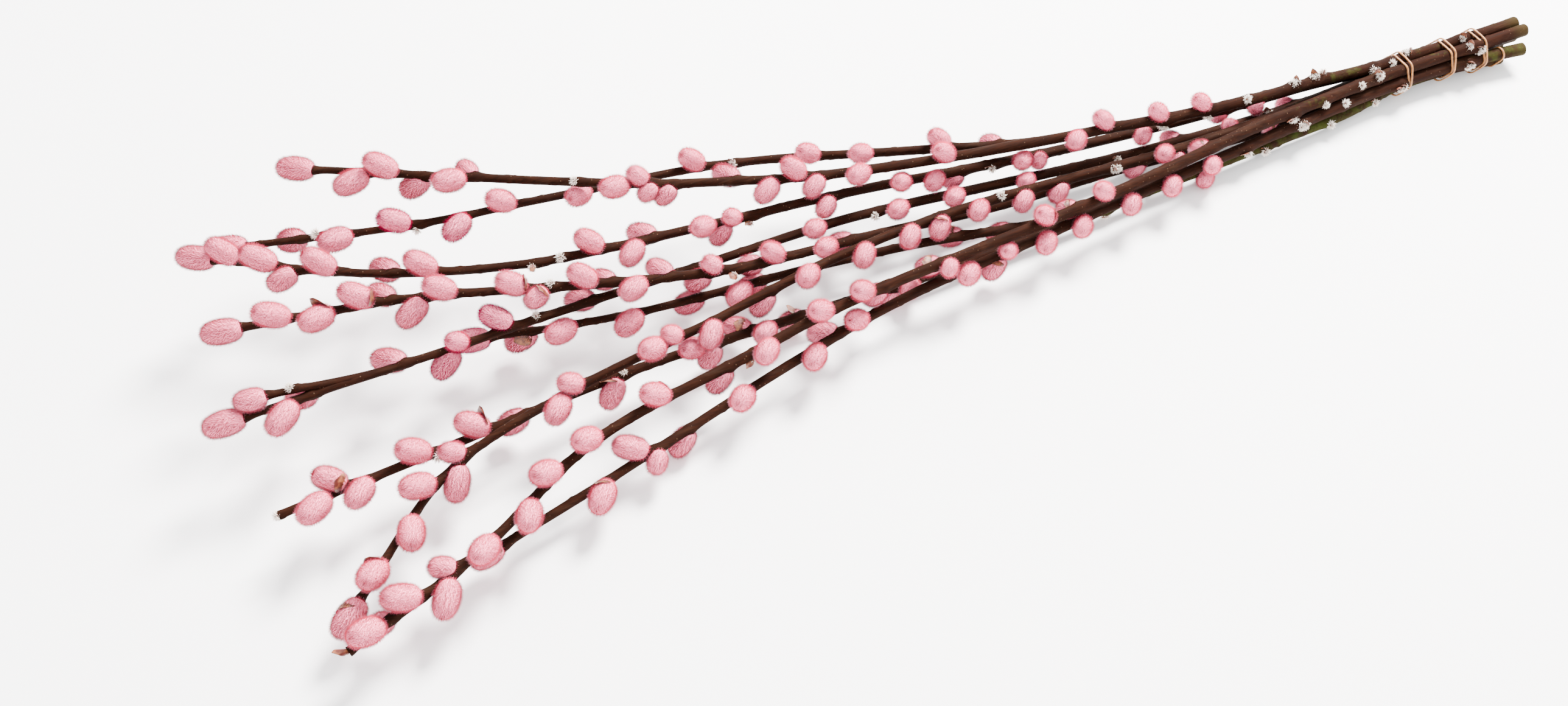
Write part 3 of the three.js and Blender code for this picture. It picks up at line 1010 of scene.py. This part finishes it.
@dataclass
class Rod:
    """One rod with its branches, and all that grows on it."""

    node: str
    stems: list[Stem]
    bark: Bark
    seed: int
    dyes: tuple[tuple[int, float, float], ...] = ()
    bare_tip: bool = False
    sides: int = 22
    bud_swelling: float = 0.85 * MM
    swelling_reach: float = 3.2 * MM
    ridge: float = 0.045
    wart_spacing: float = 5 * MM
    wart_reach: float = 0.9 * MM
    wart_height: float = 0.48 * MM
    kink: float = 0.55 * MM

    def __post_init__(self) -> None:
        """Seed the rod's own random numbers."""
        self.random = np.random.default_rng(self.seed)

    def spindles(self, growth: Growth) -> list[Spindle]:
        """List the rod's catkins or its buds."""
        return [s for stem in self.stems for s in stem.spindles if s.growth is growth]

    def _skin(self, stem: Stem) -> tuple[Array, Array]:
        """Shape the bark of a stem.

        Args:
            stem: The stem.

        Returns:
            The rings of points, and how far along the stem each ring lies.
        """
        along = unit(np.gradient(stem.centres, axis=0))
        top, right = square_to(along)
        turns = 2 * math.pi * np.arange(self.sides) / self.sides
        steps = np.linalg.norm(np.diff(stem.centres, axis=0), axis=1)
        lengths = np.concatenate([[0], np.cumsum(steps)])
        centres = stem.centres.copy()
        for spindle in stem.spindles:
            step, _ = stem.nearest(spindle.base)
            way = spindle.axis - along[step] * (spindle.axis @ along[step])
            away = np.abs(lengths - lengths[step])[:, None]
            centres += self.kink * np.exp(-away / (9 * MM)) * way
        shape = np.ones((len(lengths), self.sides))
        drift = np.cumsum(self.random.normal(0, 0.012, len(lengths)))
        for waves, share in ((2, 0.6), (3, 0.45), (5, 0.35)):
            shift = self.random.uniform(0, 2 * math.pi)
            wave = np.cos(waves * (turns[None] + drift[:, None]) + shift)
            shape += self.ridge * share * wave
        fat = smoothed(self.random.normal(0, 1, (len(lengths), 1)), 5.0)
        shape += 0.05 * fat
        radius = shape * stem.radii[:, None]
        for spindle in stem.spindles:
            step, _ = stem.nearest(spindle.base + 0.1 * spindle.length * spindle.axis)
            away = (lengths - lengths[step])[:, None]
            way = spindle.axis - along[step] * (spindle.axis @ along[step])
            turn = math.atan2(way @ right[step], way @ top[step])
            facing = 0.5 + 0.5 * np.cos(turns[None] - turn)
            size = self.bud_swelling * (1.3 if spindle.growth is Growth.CATKIN else 0.9)
            radius += size * bell(away, self.swelling_reach) * facing ** 2
            radius += 0.35 * size * bell(away, 0.5 * self.swelling_reach)
        radius += self._warts(lengths, turns, stem.radii)
        rings = ring_points(centres, top, right, radius, turns)
        return rings, lengths

    def _warts(self, lengths: Array, turns: Array, radii: Array) -> Array:
        """Raise small warts and old leaf scars all over a stem.

        Args:
            lengths: How far along the stem each ring lies.
            turns: The angle of each point of a ring.
            radii: The radius of each ring.

        Returns:
            How far each point is raised.
        """
        raised = np.zeros((len(lengths), len(turns)))
        for _ in range(int(lengths[-1] / self.wart_spacing)):
            middle = self.random.uniform(0, lengths[-1])
            turn = self.random.uniform(0, 2 * math.pi)
            size = self.random.uniform(0.5, 1.0)
            near = np.abs(lengths - middle) < 5 * self.wart_reach
            across = np.abs((turns - turn + math.pi) % (2 * math.pi) - math.pi)
            spread = bell(across[None] * radii[near][:, None], size * self.wart_reach)
            rise = bell((lengths[near] - middle)[:, None], 1.2 * size * self.wart_reach)
            raised[near] += size * self.wart_height * spread * rise
        return raised

    @staticmethod
    def _cap(patch: Patch, ring: Array, shares: Sequence[float], slots: Sequence[int],
             spot: Array) -> None:
        """Close the end of a stem with rings that shrink to its middle.

        Args:
            patch: What to add to.
            ring: The last ring of the skin.
            shares: The girth of each further ring as a share of the last one.
            slots: The material of the faces up to each ring, and of the middle.
            spot: Where the cap lies on the map.
        """
        middle = ring.mean(axis=0)
        rings = [ring] + [middle + share * (ring - middle) for share in shares]
        size = len(ring)
        turns = 2 * math.pi * np.arange(size + 1) / size
        rim = spot + 0.004 * np.stack([np.cos(turns), np.sin(turns)], axis=1)
        for k, slot in enumerate(slots[:-1]):
            pair = np.concatenate([rings[k], rings[k + 1]])
            quads = grid_faces(2, size, True)
            near, far = ([1.0, *shares][k], shares[k])
            corners = [
                spot + near * (rim[:-1] - spot), spot + near * (rim[1:] - spot),
                spot + far * (rim[1:] - spot), spot + far * (rim[:-1] - spot),
            ]
            patch.add(pair, quads, np.stack(corners, axis=1), slot=slot)
        last = np.concatenate([rings[-1], middle[None]])
        index = np.arange(size)
        fan = np.stack([index, (index + 1) % size, np.full(size, size)], axis=1)
        corners = [
            spot + shares[-1] * (rim[:-1] - spot), spot + shares[-1] * (rim[1:] - spot),
            np.repeat(spot[None], size, axis=0),
        ]
        patch.add(last, fan, np.stack(corners, axis=1), slot=slots[-1])

    def build_bark(self, cut: Sequence[bpy.types.Material]) -> bpy.types.Object:
        """Make the rod's wood.

        Args:
            cut: The materials of the cut face from its rim to its pith.

        Returns:
            The rod's wood as one piece.
        """
        patch = Patch()
        steps = [np.linalg.norm(np.diff(stem.centres, axis=0), axis=1) for stem in self.stems]
        strips = Strips(sum(float(lengths.sum()) for lengths in steps))
        for number, stem in enumerate(self.stems):
            rings, lengths = self._skin(stem)
            corners = strips.corners(lengths, self.sides)
            faces = grid_faces(len(rings), self.sides, True)
            patch.add(rings.reshape(-1, 3), faces, corners)
            start_spot = np.array([0.985, 0.985 - 0.02 * number])
            shares = (0.93, 0.86, 0.3)
            self._cap(patch, rings[0][::-1], shares, (1, 1, 2, 3), start_spot)
            tip_spot = start_spot - [0.015, 0]
            self._cap(patch, rings[-1], (0.8, 0.5), (0, 0, 0), tip_spot)
        return patch.build(f"{self.node}_wood", [self.bark.build(), *cut])


@dataclass
class Catkins:
    """The catkins of one rod: hearts of packed bracts under a coat of swept hair.

    The frame shrinks some catkins to keep them apart. Soft hair may touch, so a catkin here is
    grown part of the way back to the size it has at its distance from the tip of its stem.
    """

    rod: Rod
    longest: float = 21.5 * MM
    shrink: float = 0.0165
    stoutness: float = 4.0 * MM
    girth: float = 0.135
    regrowth: float = 0.55
    coat: float = 1.05 * MM
    hair_length: float = 2.1 * MM
    hair_width: float = 0.15 * MM
    hairs_to_area: float = 7.5 / MM ** 2
    fullness: float = 0.62
    foot_depth: float = 0.25 * MM
    base_sweep: float = math.radians(42)
    tip_sweep: float = math.radians(22)
    scatter: float = 0.24
    catkins_to_a_piece: int = 8

    def _profile(self, spindle: Spindle) -> tuple[Array, Array]:
        """Draw the heart's outline.

        Args:
            spindle: The catkin.

        Returns:
            Distances along the catkin, and the radius at each.
        """
        share = np.linspace(0, 1, 40)
        along = spindle.length * (0.06 + 0.83 * 0.5 * (1 - np.cos(math.pi * share)))
        radius = (spindle.radius - self.coat) * np.sin(math.pi * share ** 0.95) ** 0.66
        return along, np.maximum(radius, 0.12 * MM)

    def grown(self) -> list[Spindle]:
        """Give the rod's catkins at the sizes they have here."""
        grown = []
        for spindle in self.rod.spindles(Growth.CATKIN):
            natural = self.longest - self.shrink * spindle.distance
            length = spindle.length * (max(natural / spindle.length, 1.0)) ** self.regrowth
            grown.append(replace(spindle, length=length, radius=self.stoutness + self.girth * length))
        return grown

    def build_hearts(self, material: bpy.types.Material) -> bpy.types.Object:
        """Make the bodies under the hair.

        Args:
            material: The hearts' material.

        Returns:
            All of the rod's hearts as one piece.
        """
        patch = Patch()
        columns = 14
        turns = 2 * math.pi * np.arange(columns) / columns
        for spindle in self.grown():
            along, radius = self._profile(spindle)
            along, radius = along[::3], radius[::3]
            top, right = square_to(spindle.axis)
            centres = spindle.base + along[:, None] * spindle.axis
            flat = np.ones((len(along), 1))
            rings = ring_points(centres, flat * top, flat * right, radius[:, None] * np.ones(columns), turns)
            faces = grid_faces(len(rings), columns, True)
            patch.add(rings.reshape(-1, 3), faces)
            index = np.arange(columns)
            for ring, faced in ((rings[0][::-1], -1), (rings[-1], 1)):
                fan = np.stack([index, (index + 1) % columns, np.full(columns, columns)], axis=1)
                middle = ring.mean(axis=0) + faced * 0.1 * MM * spindle.axis
                patch.add(np.concatenate([ring, middle[None]]), fan)
        return patch.build(f"{self.rod.node}_catkin_hearts", [material])

    def _tone(self, spindle: Spindle) -> float:
        """Pick a catkin's place on the scale of tones.

        Args:
            spindle: The catkin.

        Returns:
            0 for the palest, up to 1.
        """
        random = self.rod.random
        for stem, distance, tone in self.rod.dyes:
            if spindle.stem == stem and abs(spindle.distance - distance * MM) < 6 * MM:
                return tone
        if random.uniform() < 0.1:
            return random.uniform(0.4, 0.52)
        return random.uniform(0.03, 0.36)

    def build_fur(self, material: bpy.types.Material) -> list[bpy.types.Object]:
        """Make the coats of hair.

        Args:
            material: The hair's material.

        Returns:
            The rod's catkin hair in a few pieces.
        """
        catkins = self.grown()
        pieces = []
        for first in range(0, len(catkins), self.catkins_to_a_piece):
            patch = Patch()
            for spindle in catkins[first:first + self.catkins_to_a_piece]:
                area = 2 * math.pi * spindle.radius * spindle.length * self.fullness
                self._coat(patch, spindle, int(area * self.hairs_to_area), self._tone(spindle))
            name = f"{self.rod.node}_catkin_fur_{len(pieces) + 1}"
            pieces.append(patch.build(name, [material]))
        return pieces

    def _coat(self, patch: Patch, spindle: Spindle, count: int, tone: float) -> None:
        """Cover one catkin with hair.

        Args:
            patch: What to add to.
            spindle: The catkin.
            count: How many hairs.
            tone: Its place on the scale of tones.
        """
        random = self.rod.random
        along, radius = self._profile(spindle)
        steps = np.hypot(np.diff(along), np.diff(radius))
        bands = steps * (radius[1:] + radius[:-1])
        covered = np.concatenate([[0], np.cumsum(bands)])
        wanted = (np.arange(count) + 0.5) / count * covered[-1]
        here = np.interp(wanted, covered, along)
        girth = np.interp(wanted, covered, radius)
        middles = 0.5 * (along[1:] + along[:-1])
        lean_along = np.interp(here, middles, np.diff(along) / steps)
        lean_out = np.interp(here, middles, np.diff(radius) / steps)
        turn = np.arange(count) * GOLDEN_ANGLE + random.normal(0, 0.06, count)
        top, right = square_to(spindle.axis)
        out = np.cos(turn)[:, None] * top + np.sin(turn)[:, None] * right
        root = spindle.base + here[:, None] * spindle.axis + girth[:, None] * out
        skin = unit(lean_along[:, None] * out - lean_out[:, None] * spindle.axis)
        forward = unit(lean_along[:, None] * spindle.axis + lean_out[:, None] * out)
        progress = (here / spindle.length)[:, None]
        sweep = self.base_sweep + (self.tip_sweep - self.base_sweep) * progress
        way = np.cos(sweep) * skin + np.sin(sweep) * forward
        clump = 0.5 + 0.5 * np.cos(3 * turn + 40 * progress[:, 0])
        way = unit(way + random.normal(0, self.scatter, (count, 3)) + 0.05 * clump[:, None] * skin)
        length = self.hair_length * random.uniform(0.62, 1.12, (count, 1)) * (0.8 + 0.2 * progress)
        side = unit(np.cross(way, skin))
        flat = np.cross(side, way)
        width = 0.5 * self.hair_width * random.uniform(0.75, 1.2, (count, 1))
        foot = root - self.foot_depth * way
        corners = [
            foot + width * side - 0.35 * width * flat,
            foot - width * side - 0.35 * width * flat,
            foot + 0.65 * width * flat,
            foot + (length + self.foot_depth) * way,
        ]
        points = np.stack(corners, axis=1).reshape(-1, 3)
        first = 4 * np.arange(count)[:, None]
        facets = np.array([[0, 1, 2], [1, 0, 3], [2, 1, 3], [0, 2, 3]])
        faces = (first[:, None] + facets[None]).reshape(-1, 3)
        own = np.clip(tone + random.normal(0, 0.05, count), 0.01, 0.99)
        dark = random.uniform(0, 1, count) < 0.015
        own = np.where(dark, 0.985, own)
        across = own[:, None] + np.array([-0.004, 0.004, 0.0, 0.0])
        upward = np.array([0.02, 0.02, 0.03, 0.98])
        map_points = np.stack([across, np.broadcast_to(upward, across.shape)], axis=-1)
        spots = map_points[:, facets].reshape(-1, 2)
        lift = np.stack([0.25 * side, -0.25 * side, 0.2 * flat, 0.35 * way], axis=1)
        normals = unit(lift + skin[:, None]).reshape(-1, 3)
        patch.add(points, faces, spots, normals)


@dataclass
class BudTufts:
    """The buds of one rod, each burst into a star of white hair round a dark heart."""

    rod: Rod
    hairs: int = 130
    hair_length: float = 2.5 * MM
    hair_width: float = 0.42 * MM
    tip_reach: float = 8 * MM
    heart_length: float = 2.6 * MM
    heart_radius: float = 1.25 * MM

    def build_hearts(self, material: bpy.types.Material) -> Optional[bpy.types.Object]:
        """Make the dark hearts of the buds.

        Args:
            material: Their material.

        Returns:
            All of them as one piece, or nothing when the rod has no buds.
        """
        patch = Patch()
        rows, columns = 9, 12
        turns = 2 * math.pi * np.arange(columns) / columns
        share = np.linspace(0.03, 0.97, rows)
        for bud in self.rod.spindles(Growth.BUD):
            top, right = square_to(bud.axis)
            centres = bud.seat + (share * self.heart_length)[:, None] * bud.axis
            radius = self.heart_radius * np.sin(math.pi * share) ** 0.8
            flat = np.ones((rows, 1))
            rings = ring_points(centres, flat * top, flat * right, radius[:, None] * np.ones(columns), turns)
            patch.add(rings.reshape(-1, 3), grid_faces(rows, columns, True))
            index = np.arange(columns)
            fan = np.stack([index, (index + 1) % columns, np.full(columns, columns)], axis=1)
            for ring in (rings[0][::-1], rings[-1]):
                patch.add(np.concatenate([ring, ring.mean(axis=0)[None]]), fan)
        if not patch.points:
            return None
        return patch.build(f"{self.rod.node}_bud_hearts", [material])

    def build_hair(self, material: bpy.types.Material) -> Optional[bpy.types.Object]:
        """Make the stars of hair.

        Args:
            material: The hair's material.

        Returns:
            All of the rod's bud hair as one piece, or nothing when the rod has no buds.
        """
        patch = Patch()
        for bud in self.rod.spindles(Growth.BUD):
            if not (self.rod.bare_tip and bud.distance < self.tip_reach):
                self._star(patch, bud)
        if not patch.points:
            return None
        return patch.build(f"{self.rod.node}_bud_hair", [material])

    def _star(self, patch: Patch, bud: Spindle) -> None:
        """Grow one bud's hair.

        Args:
            patch: What to add to.
            bud: The bud.
        """
        random = self.rod.random
        count = int(self.hairs * random.uniform(0.7, 1.15))
        size = random.uniform(0.8, 1.15)
        top, right = square_to(bud.axis)
        turn = np.arange(count) * GOLDEN_ANGLE
        spread = np.radians(25 + 75 * ((np.arange(count) + 0.5) / count) ** 0.8)
        out = np.cos(turn)[:, None] * top + np.sin(turn)[:, None] * right
        way = np.cos(spread)[:, None] * bud.axis + np.sin(spread)[:, None] * out
        way = unit(way + random.normal(0, 0.16, (count, 3)))
        middle = bud.seat + 0.5 * self.heart_length * bud.axis
        root = middle + 0.8 * self.heart_radius * way
        length = size * self.hair_length * random.uniform(0.6, 1.1, (count, 1))
        bend = unit(bud.axis + random.normal(0, 0.5, (count, 3)))
        elbow = root + 0.55 * length * way
        tip = elbow + 0.5 * length * unit(way + 0.45 * bend)
        side = unit(np.cross(way, bend))
        flat = np.cross(side, way)
        width = 0.5 * self.hair_width
        ring = [side, -0.5 * side + 0.87 * flat, -0.5 * side - 0.87 * flat]
        corners = [root + width * way_out for way_out in ring]
        corners += [elbow + 0.75 * width * way_out for way_out in ring] + [tip]
        points = np.stack(corners, axis=1).reshape(-1, 3)
        facets = np.array([
            [0, 2, 1], [0, 1, 4], [0, 4, 3], [1, 2, 5], [1, 5, 4], [2, 0, 3], [2, 3, 5],
            [3, 4, 6], [4, 5, 6], [5, 3, 6],
        ])
        first = 7 * np.arange(count)[:, None]
        faces = (first[:, None] + facets[None]).reshape(-1, 3)
        tone = np.clip(random.uniform(0.05, 0.6, count), 0.02, 0.98)
        across = tone[:, None] + np.array([-0.01, 0.01, 0.0, -0.01, 0.01, 0.0, 0.0])
        upward = np.array([0.02, 0.02, 0.04, 0.5, 0.5, 0.52, 0.98])
        map_points = np.stack([across, np.broadcast_to(upward, across.shape)], axis=-1)
        patch.add(points, faces, map_points[:, facets].reshape(-1, 2))


@dataclass
class BudScales:
    """Dry bud scales that still hold to some catkins and buds of one rod."""

    rod: Rod
    catkins: list[Spindle]
    share_of_catkins: float = 0.16
    share_of_buds: float = 0.45
    thickness: float = 0.22 * MM
    rows: int = 10
    columns: int = 7

    def build(self, material: bpy.types.Material) -> Optional[bpy.types.Object]:
        """Make the scales.

        Args:
            material: Their material.

        Returns:
            All of the rod's scales as one piece, or nothing when none are left.
        """
        patch = Patch()
        random = self.rod.random
        for spindle in self.catkins:
            if random.uniform() < self.share_of_catkins:
                length = random.uniform(0.30, 0.42) * spindle.length
                self._scale(patch, spindle, length, 0.62 * spindle.radius, random.uniform(10, 34))
        for spindle in self.rod.spindles(Growth.BUD):
            if random.uniform() < self.share_of_buds:
                self._scale(patch, spindle, random.uniform(5, 7.5) * MM, 1.7 * MM, random.uniform(5, 30))
        if not patch.points:
            return None
        return patch.build(f"{self.rod.node}_bud_scales", [material])

    def _scale(self, patch: Patch, spindle: Spindle, length: float, cup: float, flare: float) -> None:
        """Make one cupped scale at the foot of a catkin or bud.

        Args:
            patch: What to add to.
            spindle: What it held.
            length: Its length.
            cup: The radius that it is cupped to.
            flare: How far its tip stands away, in degrees.
        """
        random = self.rod.random
        top, right = square_to(spindle.axis)
        turn = random.uniform(-0.9, 0.9)
        out = math.cos(turn) * top + math.sin(turn) * right
        beside = np.cross(spindle.axis, out)
        v = np.linspace(0, 1, self.rows)[:, None]
        u = np.linspace(-1, 1, self.columns)[None]
        opening = math.radians(58) * np.maximum(np.sin(math.pi * np.clip(v, 0, 1) ** 0.72), 0.06) ** 0.7
        angle = u * opening
        tilt = math.radians(flare)
        curl = length * (v ** 2) * math.tan(tilt)
        radius = cup * (0.55 + 0.6 * np.sin(0.5 * math.pi * np.minimum(1.6 * v, 1))) + curl
        rise = 0.7 * spindle.sunk + length * v * (1 - 0.12 * u ** 2)
        layers = []
        for thick in (0.0, self.thickness):
            reach = radius + thick * (1 - 0.6 * u ** 2)
            place = (
                spindle.base
                + rise[..., None] * spindle.axis
                + (reach * np.cos(angle))[..., None] * out
                + (reach * np.sin(angle))[..., None] * beside
            )
            layers.append(place.reshape(-1, 3))
        size = self.rows * self.columns
        sheet = grid_faces(self.rows, self.columns, False)
        rim = self._rim()
        following = np.roll(rim, -1)
        edge = np.stack([rim, following, following + size, rim + size], axis=1)
        faces = np.concatenate([sheet[:, ::-1], sheet + size, edge])
        patch.add(np.concatenate(layers), faces)

    def _rim(self) -> Array:
        """Walk round the edge of a scale's grid."""
        rows, columns = self.rows, self.columns
        bottom = np.arange(columns)
        up = columns * np.arange(1, rows) + columns - 1
        back = (rows - 1) * columns + np.arange(columns - 2, -1, -1)
        down = columns * np.arange(rows - 2, 0, -1)
        return np.concatenate([bottom, up, back, down])


@dataclass
class RubberBand:
    """A flat rubber band pulled round the rods that it holds, once or twice."""

    node: str
    stems: list[Stem]
    turns: int
    width: float = 1.25 * MM
    thickness: float = 0.85 * MM
    tube: float = 0.65 * MM
    rise: float = 0.75 * MM
    clearance: float = 0.1 * MM
    steps_per_turn: int = 140
    seed: int = 5

    def _circles(self, x: float) -> list[tuple[float, float, float]]:
        """Cut the held rods where the band crosses them.

        Args:
            x: Where the cut is made.

        Returns:
            Y, Z and radius of each rod.
        """
        lows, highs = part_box(self.node)
        circles = []
        for stem in self.stems:
            step = int(np.argmin(np.abs(stem.centres[:, 0] - x)))
            y, z = stem.centres[step][1:]
            inside = lows[1] < y < highs[1] and lows[2] < z < highs[2]
            if inside and abs(stem.centres[step][0] - x) < 3 * MM:
                circles.append((float(y), float(z), float(stem.radii[step])))
        return circles

    @staticmethod
    def _reach(circles: list[tuple[float, float, float]], middle: Array, angle: float) -> float:
        """Measure from the middle to a taut loop round some circles.

        Args:
            circles: Y, Z and radius of each.
            middle: Y and Z of the middle.
            angle: The direction, in radians.

        Returns:
            The distance.
        """
        reach = math.inf
        for tilt in np.linspace(-1.5, 1.5, 61):
            facing = angle + tilt
            way = np.array([math.cos(facing), math.sin(facing)])
            support = max((y - middle[0]) * way[0] + (z - middle[1]) * way[1] + r for y, z, r in circles)
            reach = min(reach, support / math.cos(tilt))
        return reach

    def build(self, material: bpy.types.Material) -> bpy.types.Object:
        """Make the band.

        Args:
            material: Its material.

        Returns:
            The band as one piece.
        """
        lows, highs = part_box(self.node)
        centre = 0.5 * (lows[0] + highs[0])
        slant = 0.5 * (highs[0] - lows[0]) - self.tube
        circles = self._circles(centre)
        middle = np.mean([circle[:2] for circle in circles], axis=0)
        count = self.steps_per_turn * self.turns
        angles = 2 * math.pi * self.turns * np.arange(count) / count
        slow = angles / self.turns
        reach = np.array([self._reach(circles, middle, angle) for angle in angles])
        ride = self.rise * (1 + np.sin(slow)) if self.turns > 1 else 0 * slow
        reach = reach + self.clearance + 0.5 * self.thickness + ride
        waver = 0.25 * MM * np.sin(3 * slow + self.seed)
        line = np.stack([
            centre + slant * np.cos(slow) + waver,
            middle[0] + reach * np.cos(angles),
            middle[1] + reach * np.sin(angles),
        ], axis=1)
        along = unit(np.roll(line, -1, axis=0) - np.roll(line, 1, axis=0))
        outward = np.stack([0 * angles, np.cos(angles), np.sin(angles)], axis=1)
        outward = unit(outward - along * np.sum(outward * along, axis=1, keepdims=True))
        beside = np.cross(along, outward)
        sides = 12
        turns = 2 * math.pi * np.arange(sides) / sides
        squash = 0.5 * np.sign(np.cos(turns)) * np.abs(np.cos(turns)) ** 0.6
        lift = 0.5 * np.sign(np.sin(turns)) * np.abs(np.sin(turns)) ** 0.6
        pulse = 1 + 0.06 * np.sin(5 * slow)[:, None]
        points = (
            line[:, None]
            + (self.width * pulse * squash)[..., None] * beside[:, None]
            + (self.thickness * lift / pulse)[..., None] * outward[:, None]
        )
        flat = np.arange(count)[:, None] * sides + np.arange(sides)[None]
        ahead = np.roll(flat, -1, axis=0)
        quads = np.stack([flat, np.roll(flat, -1, axis=1), np.roll(ahead, -1, axis=1), ahead], axis=-1)
        patch = Patch()
        patch.add(points.reshape(-1, 3), quads.reshape(-1, 4))
        return patch.build(f"{self.node}_rubber", [material])


@dataclass
class Studio:
    """The floor, the lights and the camera."""

    azimuth: float = -23.5
    elevation: float = 52.0
    distance: float = 0.660
    lens: float = 30.0
    aim_shares: tuple[float, float, float] = (-0.32364, -0.42648, 0.34423)
    key_from: tuple[float, float, float] = (1.05, 0.75, 1.75)
    key_size: float = 0.9
    key_power: float = 400.0
    sky: float = 3.3

    def build(self, finish: bpy.types.Material) -> None:
        """Set up the studio.

        Args:
            finish: The floor's material.
        """
        lows, highs = (np.array(corner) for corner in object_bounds())
        self._floor(finish)
        self._lights()
        self._camera(lows, highs)

    @staticmethod
    def _floor(finish: bpy.types.Material) -> None:
        """Lay the sheet that the bunch lies on."""
        size, steps = 9.0, 12
        grid = np.linspace(-size, size, steps)
        x, y = np.meshgrid(grid, grid)
        points = np.stack([x, y, 0 * x - 0.2 * MM], axis=-1).reshape(-1, 3)
        patch = Patch()
        patch.add(points, grid_faces(steps, steps, False))
        patch.build("floor", [finish])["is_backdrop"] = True

    def _lights(self) -> None:
        """Hang one large soft key light and fill the room with white."""
        key = bpy.data.lights.new("key", "AREA")
        key.shape = "DISK"
        key.size = self.key_size
        key.energy = self.key_power
        key.color = (1.0, 0.975, 0.95)
        lamp = bpy.data.objects.new("key", key)
        lamp.location = self.key_from
        lamp.rotation_euler = Vector(self.key_from).to_track_quat("Z", "Y").to_euler()
        bpy.context.scene.collection.objects.link(lamp)
        world = bpy.data.worlds.new("room")
        world.use_nodes = True
        world.node_tree.nodes["Background"].inputs[0].default_value = (1.0, 1.0, 1.0, 1.0)
        world.node_tree.nodes["Background"].inputs[1].default_value = self.sky
        bpy.context.scene.world = world

    def _camera(self, lows: Array, highs: Array) -> None:
        """Stand the camera over the tips, looking along the bunch to its cut ends.

        Args:
            lows: The near corner of the bunch's box.
            highs: The far corner.
        """
        middle, half = 0.5 * (lows + highs), 0.5 * (highs - lows)
        shares = np.array(self.aim_shares)
        aim = middle + shares * half
        aim[2] = lows[2] + shares[2] * (highs[2] - lows[2])
        around, up = math.radians(self.azimuth), math.radians(self.elevation)
        away = Vector((math.sin(around) * math.cos(up), -math.cos(around) * math.cos(up), math.sin(up)))
        camera = bpy.data.objects.new("camera", bpy.data.cameras.new("camera"))
        camera.data.lens = self.lens
        camera.data.sensor_width = 36.0
        camera.data.clip_start = 0.02
        camera.location = Vector(aim) + self.distance * away
        camera.rotation_euler = away.to_track_quat("Z", "Y").to_euler()
        bpy.context.scene.collection.objects.link(camera)
        bpy.context.scene.camera = camera


# Where algae grow on a rod, in metres along X, and how thickly.
ALGAE = {
    "rod_bottom_near": {"algae_from": 0.06, "algae_to": 0.335, "algae_share": 0.85},
    "rod_middle_near": {"algae_from": 0.365, "algae_to": 0.6, "algae_share": 0.7},
}
# Catkins with a tone of their own: the stem's number, millimetres from its tip, and the tone.
DYES = {
    "rod_top_far": ((1, 55, 0.66), (1, 85, 0.84), (1, 114, 0.76)),
    "rod_bottom_far": ((0, 135, 0.82), (0, 111, 0.72)),
    "rod_bottom_near": ((1, 3, 0.8),),
    "rod_middle_far": ((0, 590, 0.52), (0, 611, 0.55)),
    "rod_top_near": ((0, 309, 0.6),),
}
BARE_TIPS = {"rod_top_near"}
# The finishes of a cut face, from its rim to its middle.
CUT_FACE = (
    CutWood("cambium", (0.19, 0.17, 0.065), (0.12, 0.11, 0.04)),
    CutWood("cut_wood", (0.33, 0.24, 0.13), (0.22, 0.15, 0.075)),
    CutWood("pith", (0.12, 0.065, 0.03), (0.07, 0.04, 0.02)),
)


@dataclass
class Bunch:
    """The whole tied bunch: its rods, what grows on them, and the bands that hold them."""

    seed: int = 20

    def build(self) -> None:
        """Read the rods, dress them and attach every piece to the body."""
        cut = [finish.build() for finish in CUT_FACE]
        fur, heart = CatkinFur().build(), CatkinHeart().build()
        silk, scale, rubber = BudHair().build(), BudScale().build(), Rubber().build()
        names = sorted(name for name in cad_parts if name.startswith("rod_"))
        stems: list[Stem] = []
        for number, node in enumerate(names):
            stems_here = RodReader(node).stems()
            cut_at = float(stems_here[0].centres[0][0])
            bark = Bark(f"bark_{node}", cut_at=cut_at, **ALGAE.get(node, {}))
            rod = Rod(node, stems_here, bark, self.seed + number, DYES.get(node, ()), node in BARE_TIPS)
            stems += rod.stems
            self._show(rod.build_bark(cut), "bark", node)
            catkins, tufts = Catkins(rod), BudTufts(rod)
            self._show(catkins.build_hearts(heart), "catkin_fur")
            for coat in catkins.build_fur(fur):
                self._show(coat, "catkin_fur")
            self._show(tufts.build_hearts(scale), "bud_scale")
            self._show(tufts.build_hair(silk), "bud_hair")
            self._show(BudScales(rod, catkins.grown()).build(scale), "bud_scale")
        for node in sorted(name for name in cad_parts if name.startswith("rubber_band")):
            turns = 1 if node.endswith("small") else 2
            self._show(RubberBand(node, stems, turns).build(rubber), "rubber_band", node)

    @staticmethod
    def _show(piece: Optional[bpy.types.Object], slot: str, node: Optional[str] = None) -> None:
        """Attach a piece to the body, hide the frame node that it stands for, and log its face count.

        Args:
            piece: The piece, if there is one.
            slot: A slot name; not used.
            node: The frame node that it stands for, if any.
        """
        if piece is None:
            return
        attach(piece, BODY)
        if node is not None:
            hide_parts(node)
        LOG.info("%s: %d faces", piece.name, len(piece.data.polygons))


def main() -> None:
    """Build the bunch and the studio, and log the face count of each piece."""
    logging.basicConfig(level=logging.INFO, format="%(message)s")
    Studio().build(PaperFloor().build())
    Bunch().build()


if __name__ == "__main__":
    main()
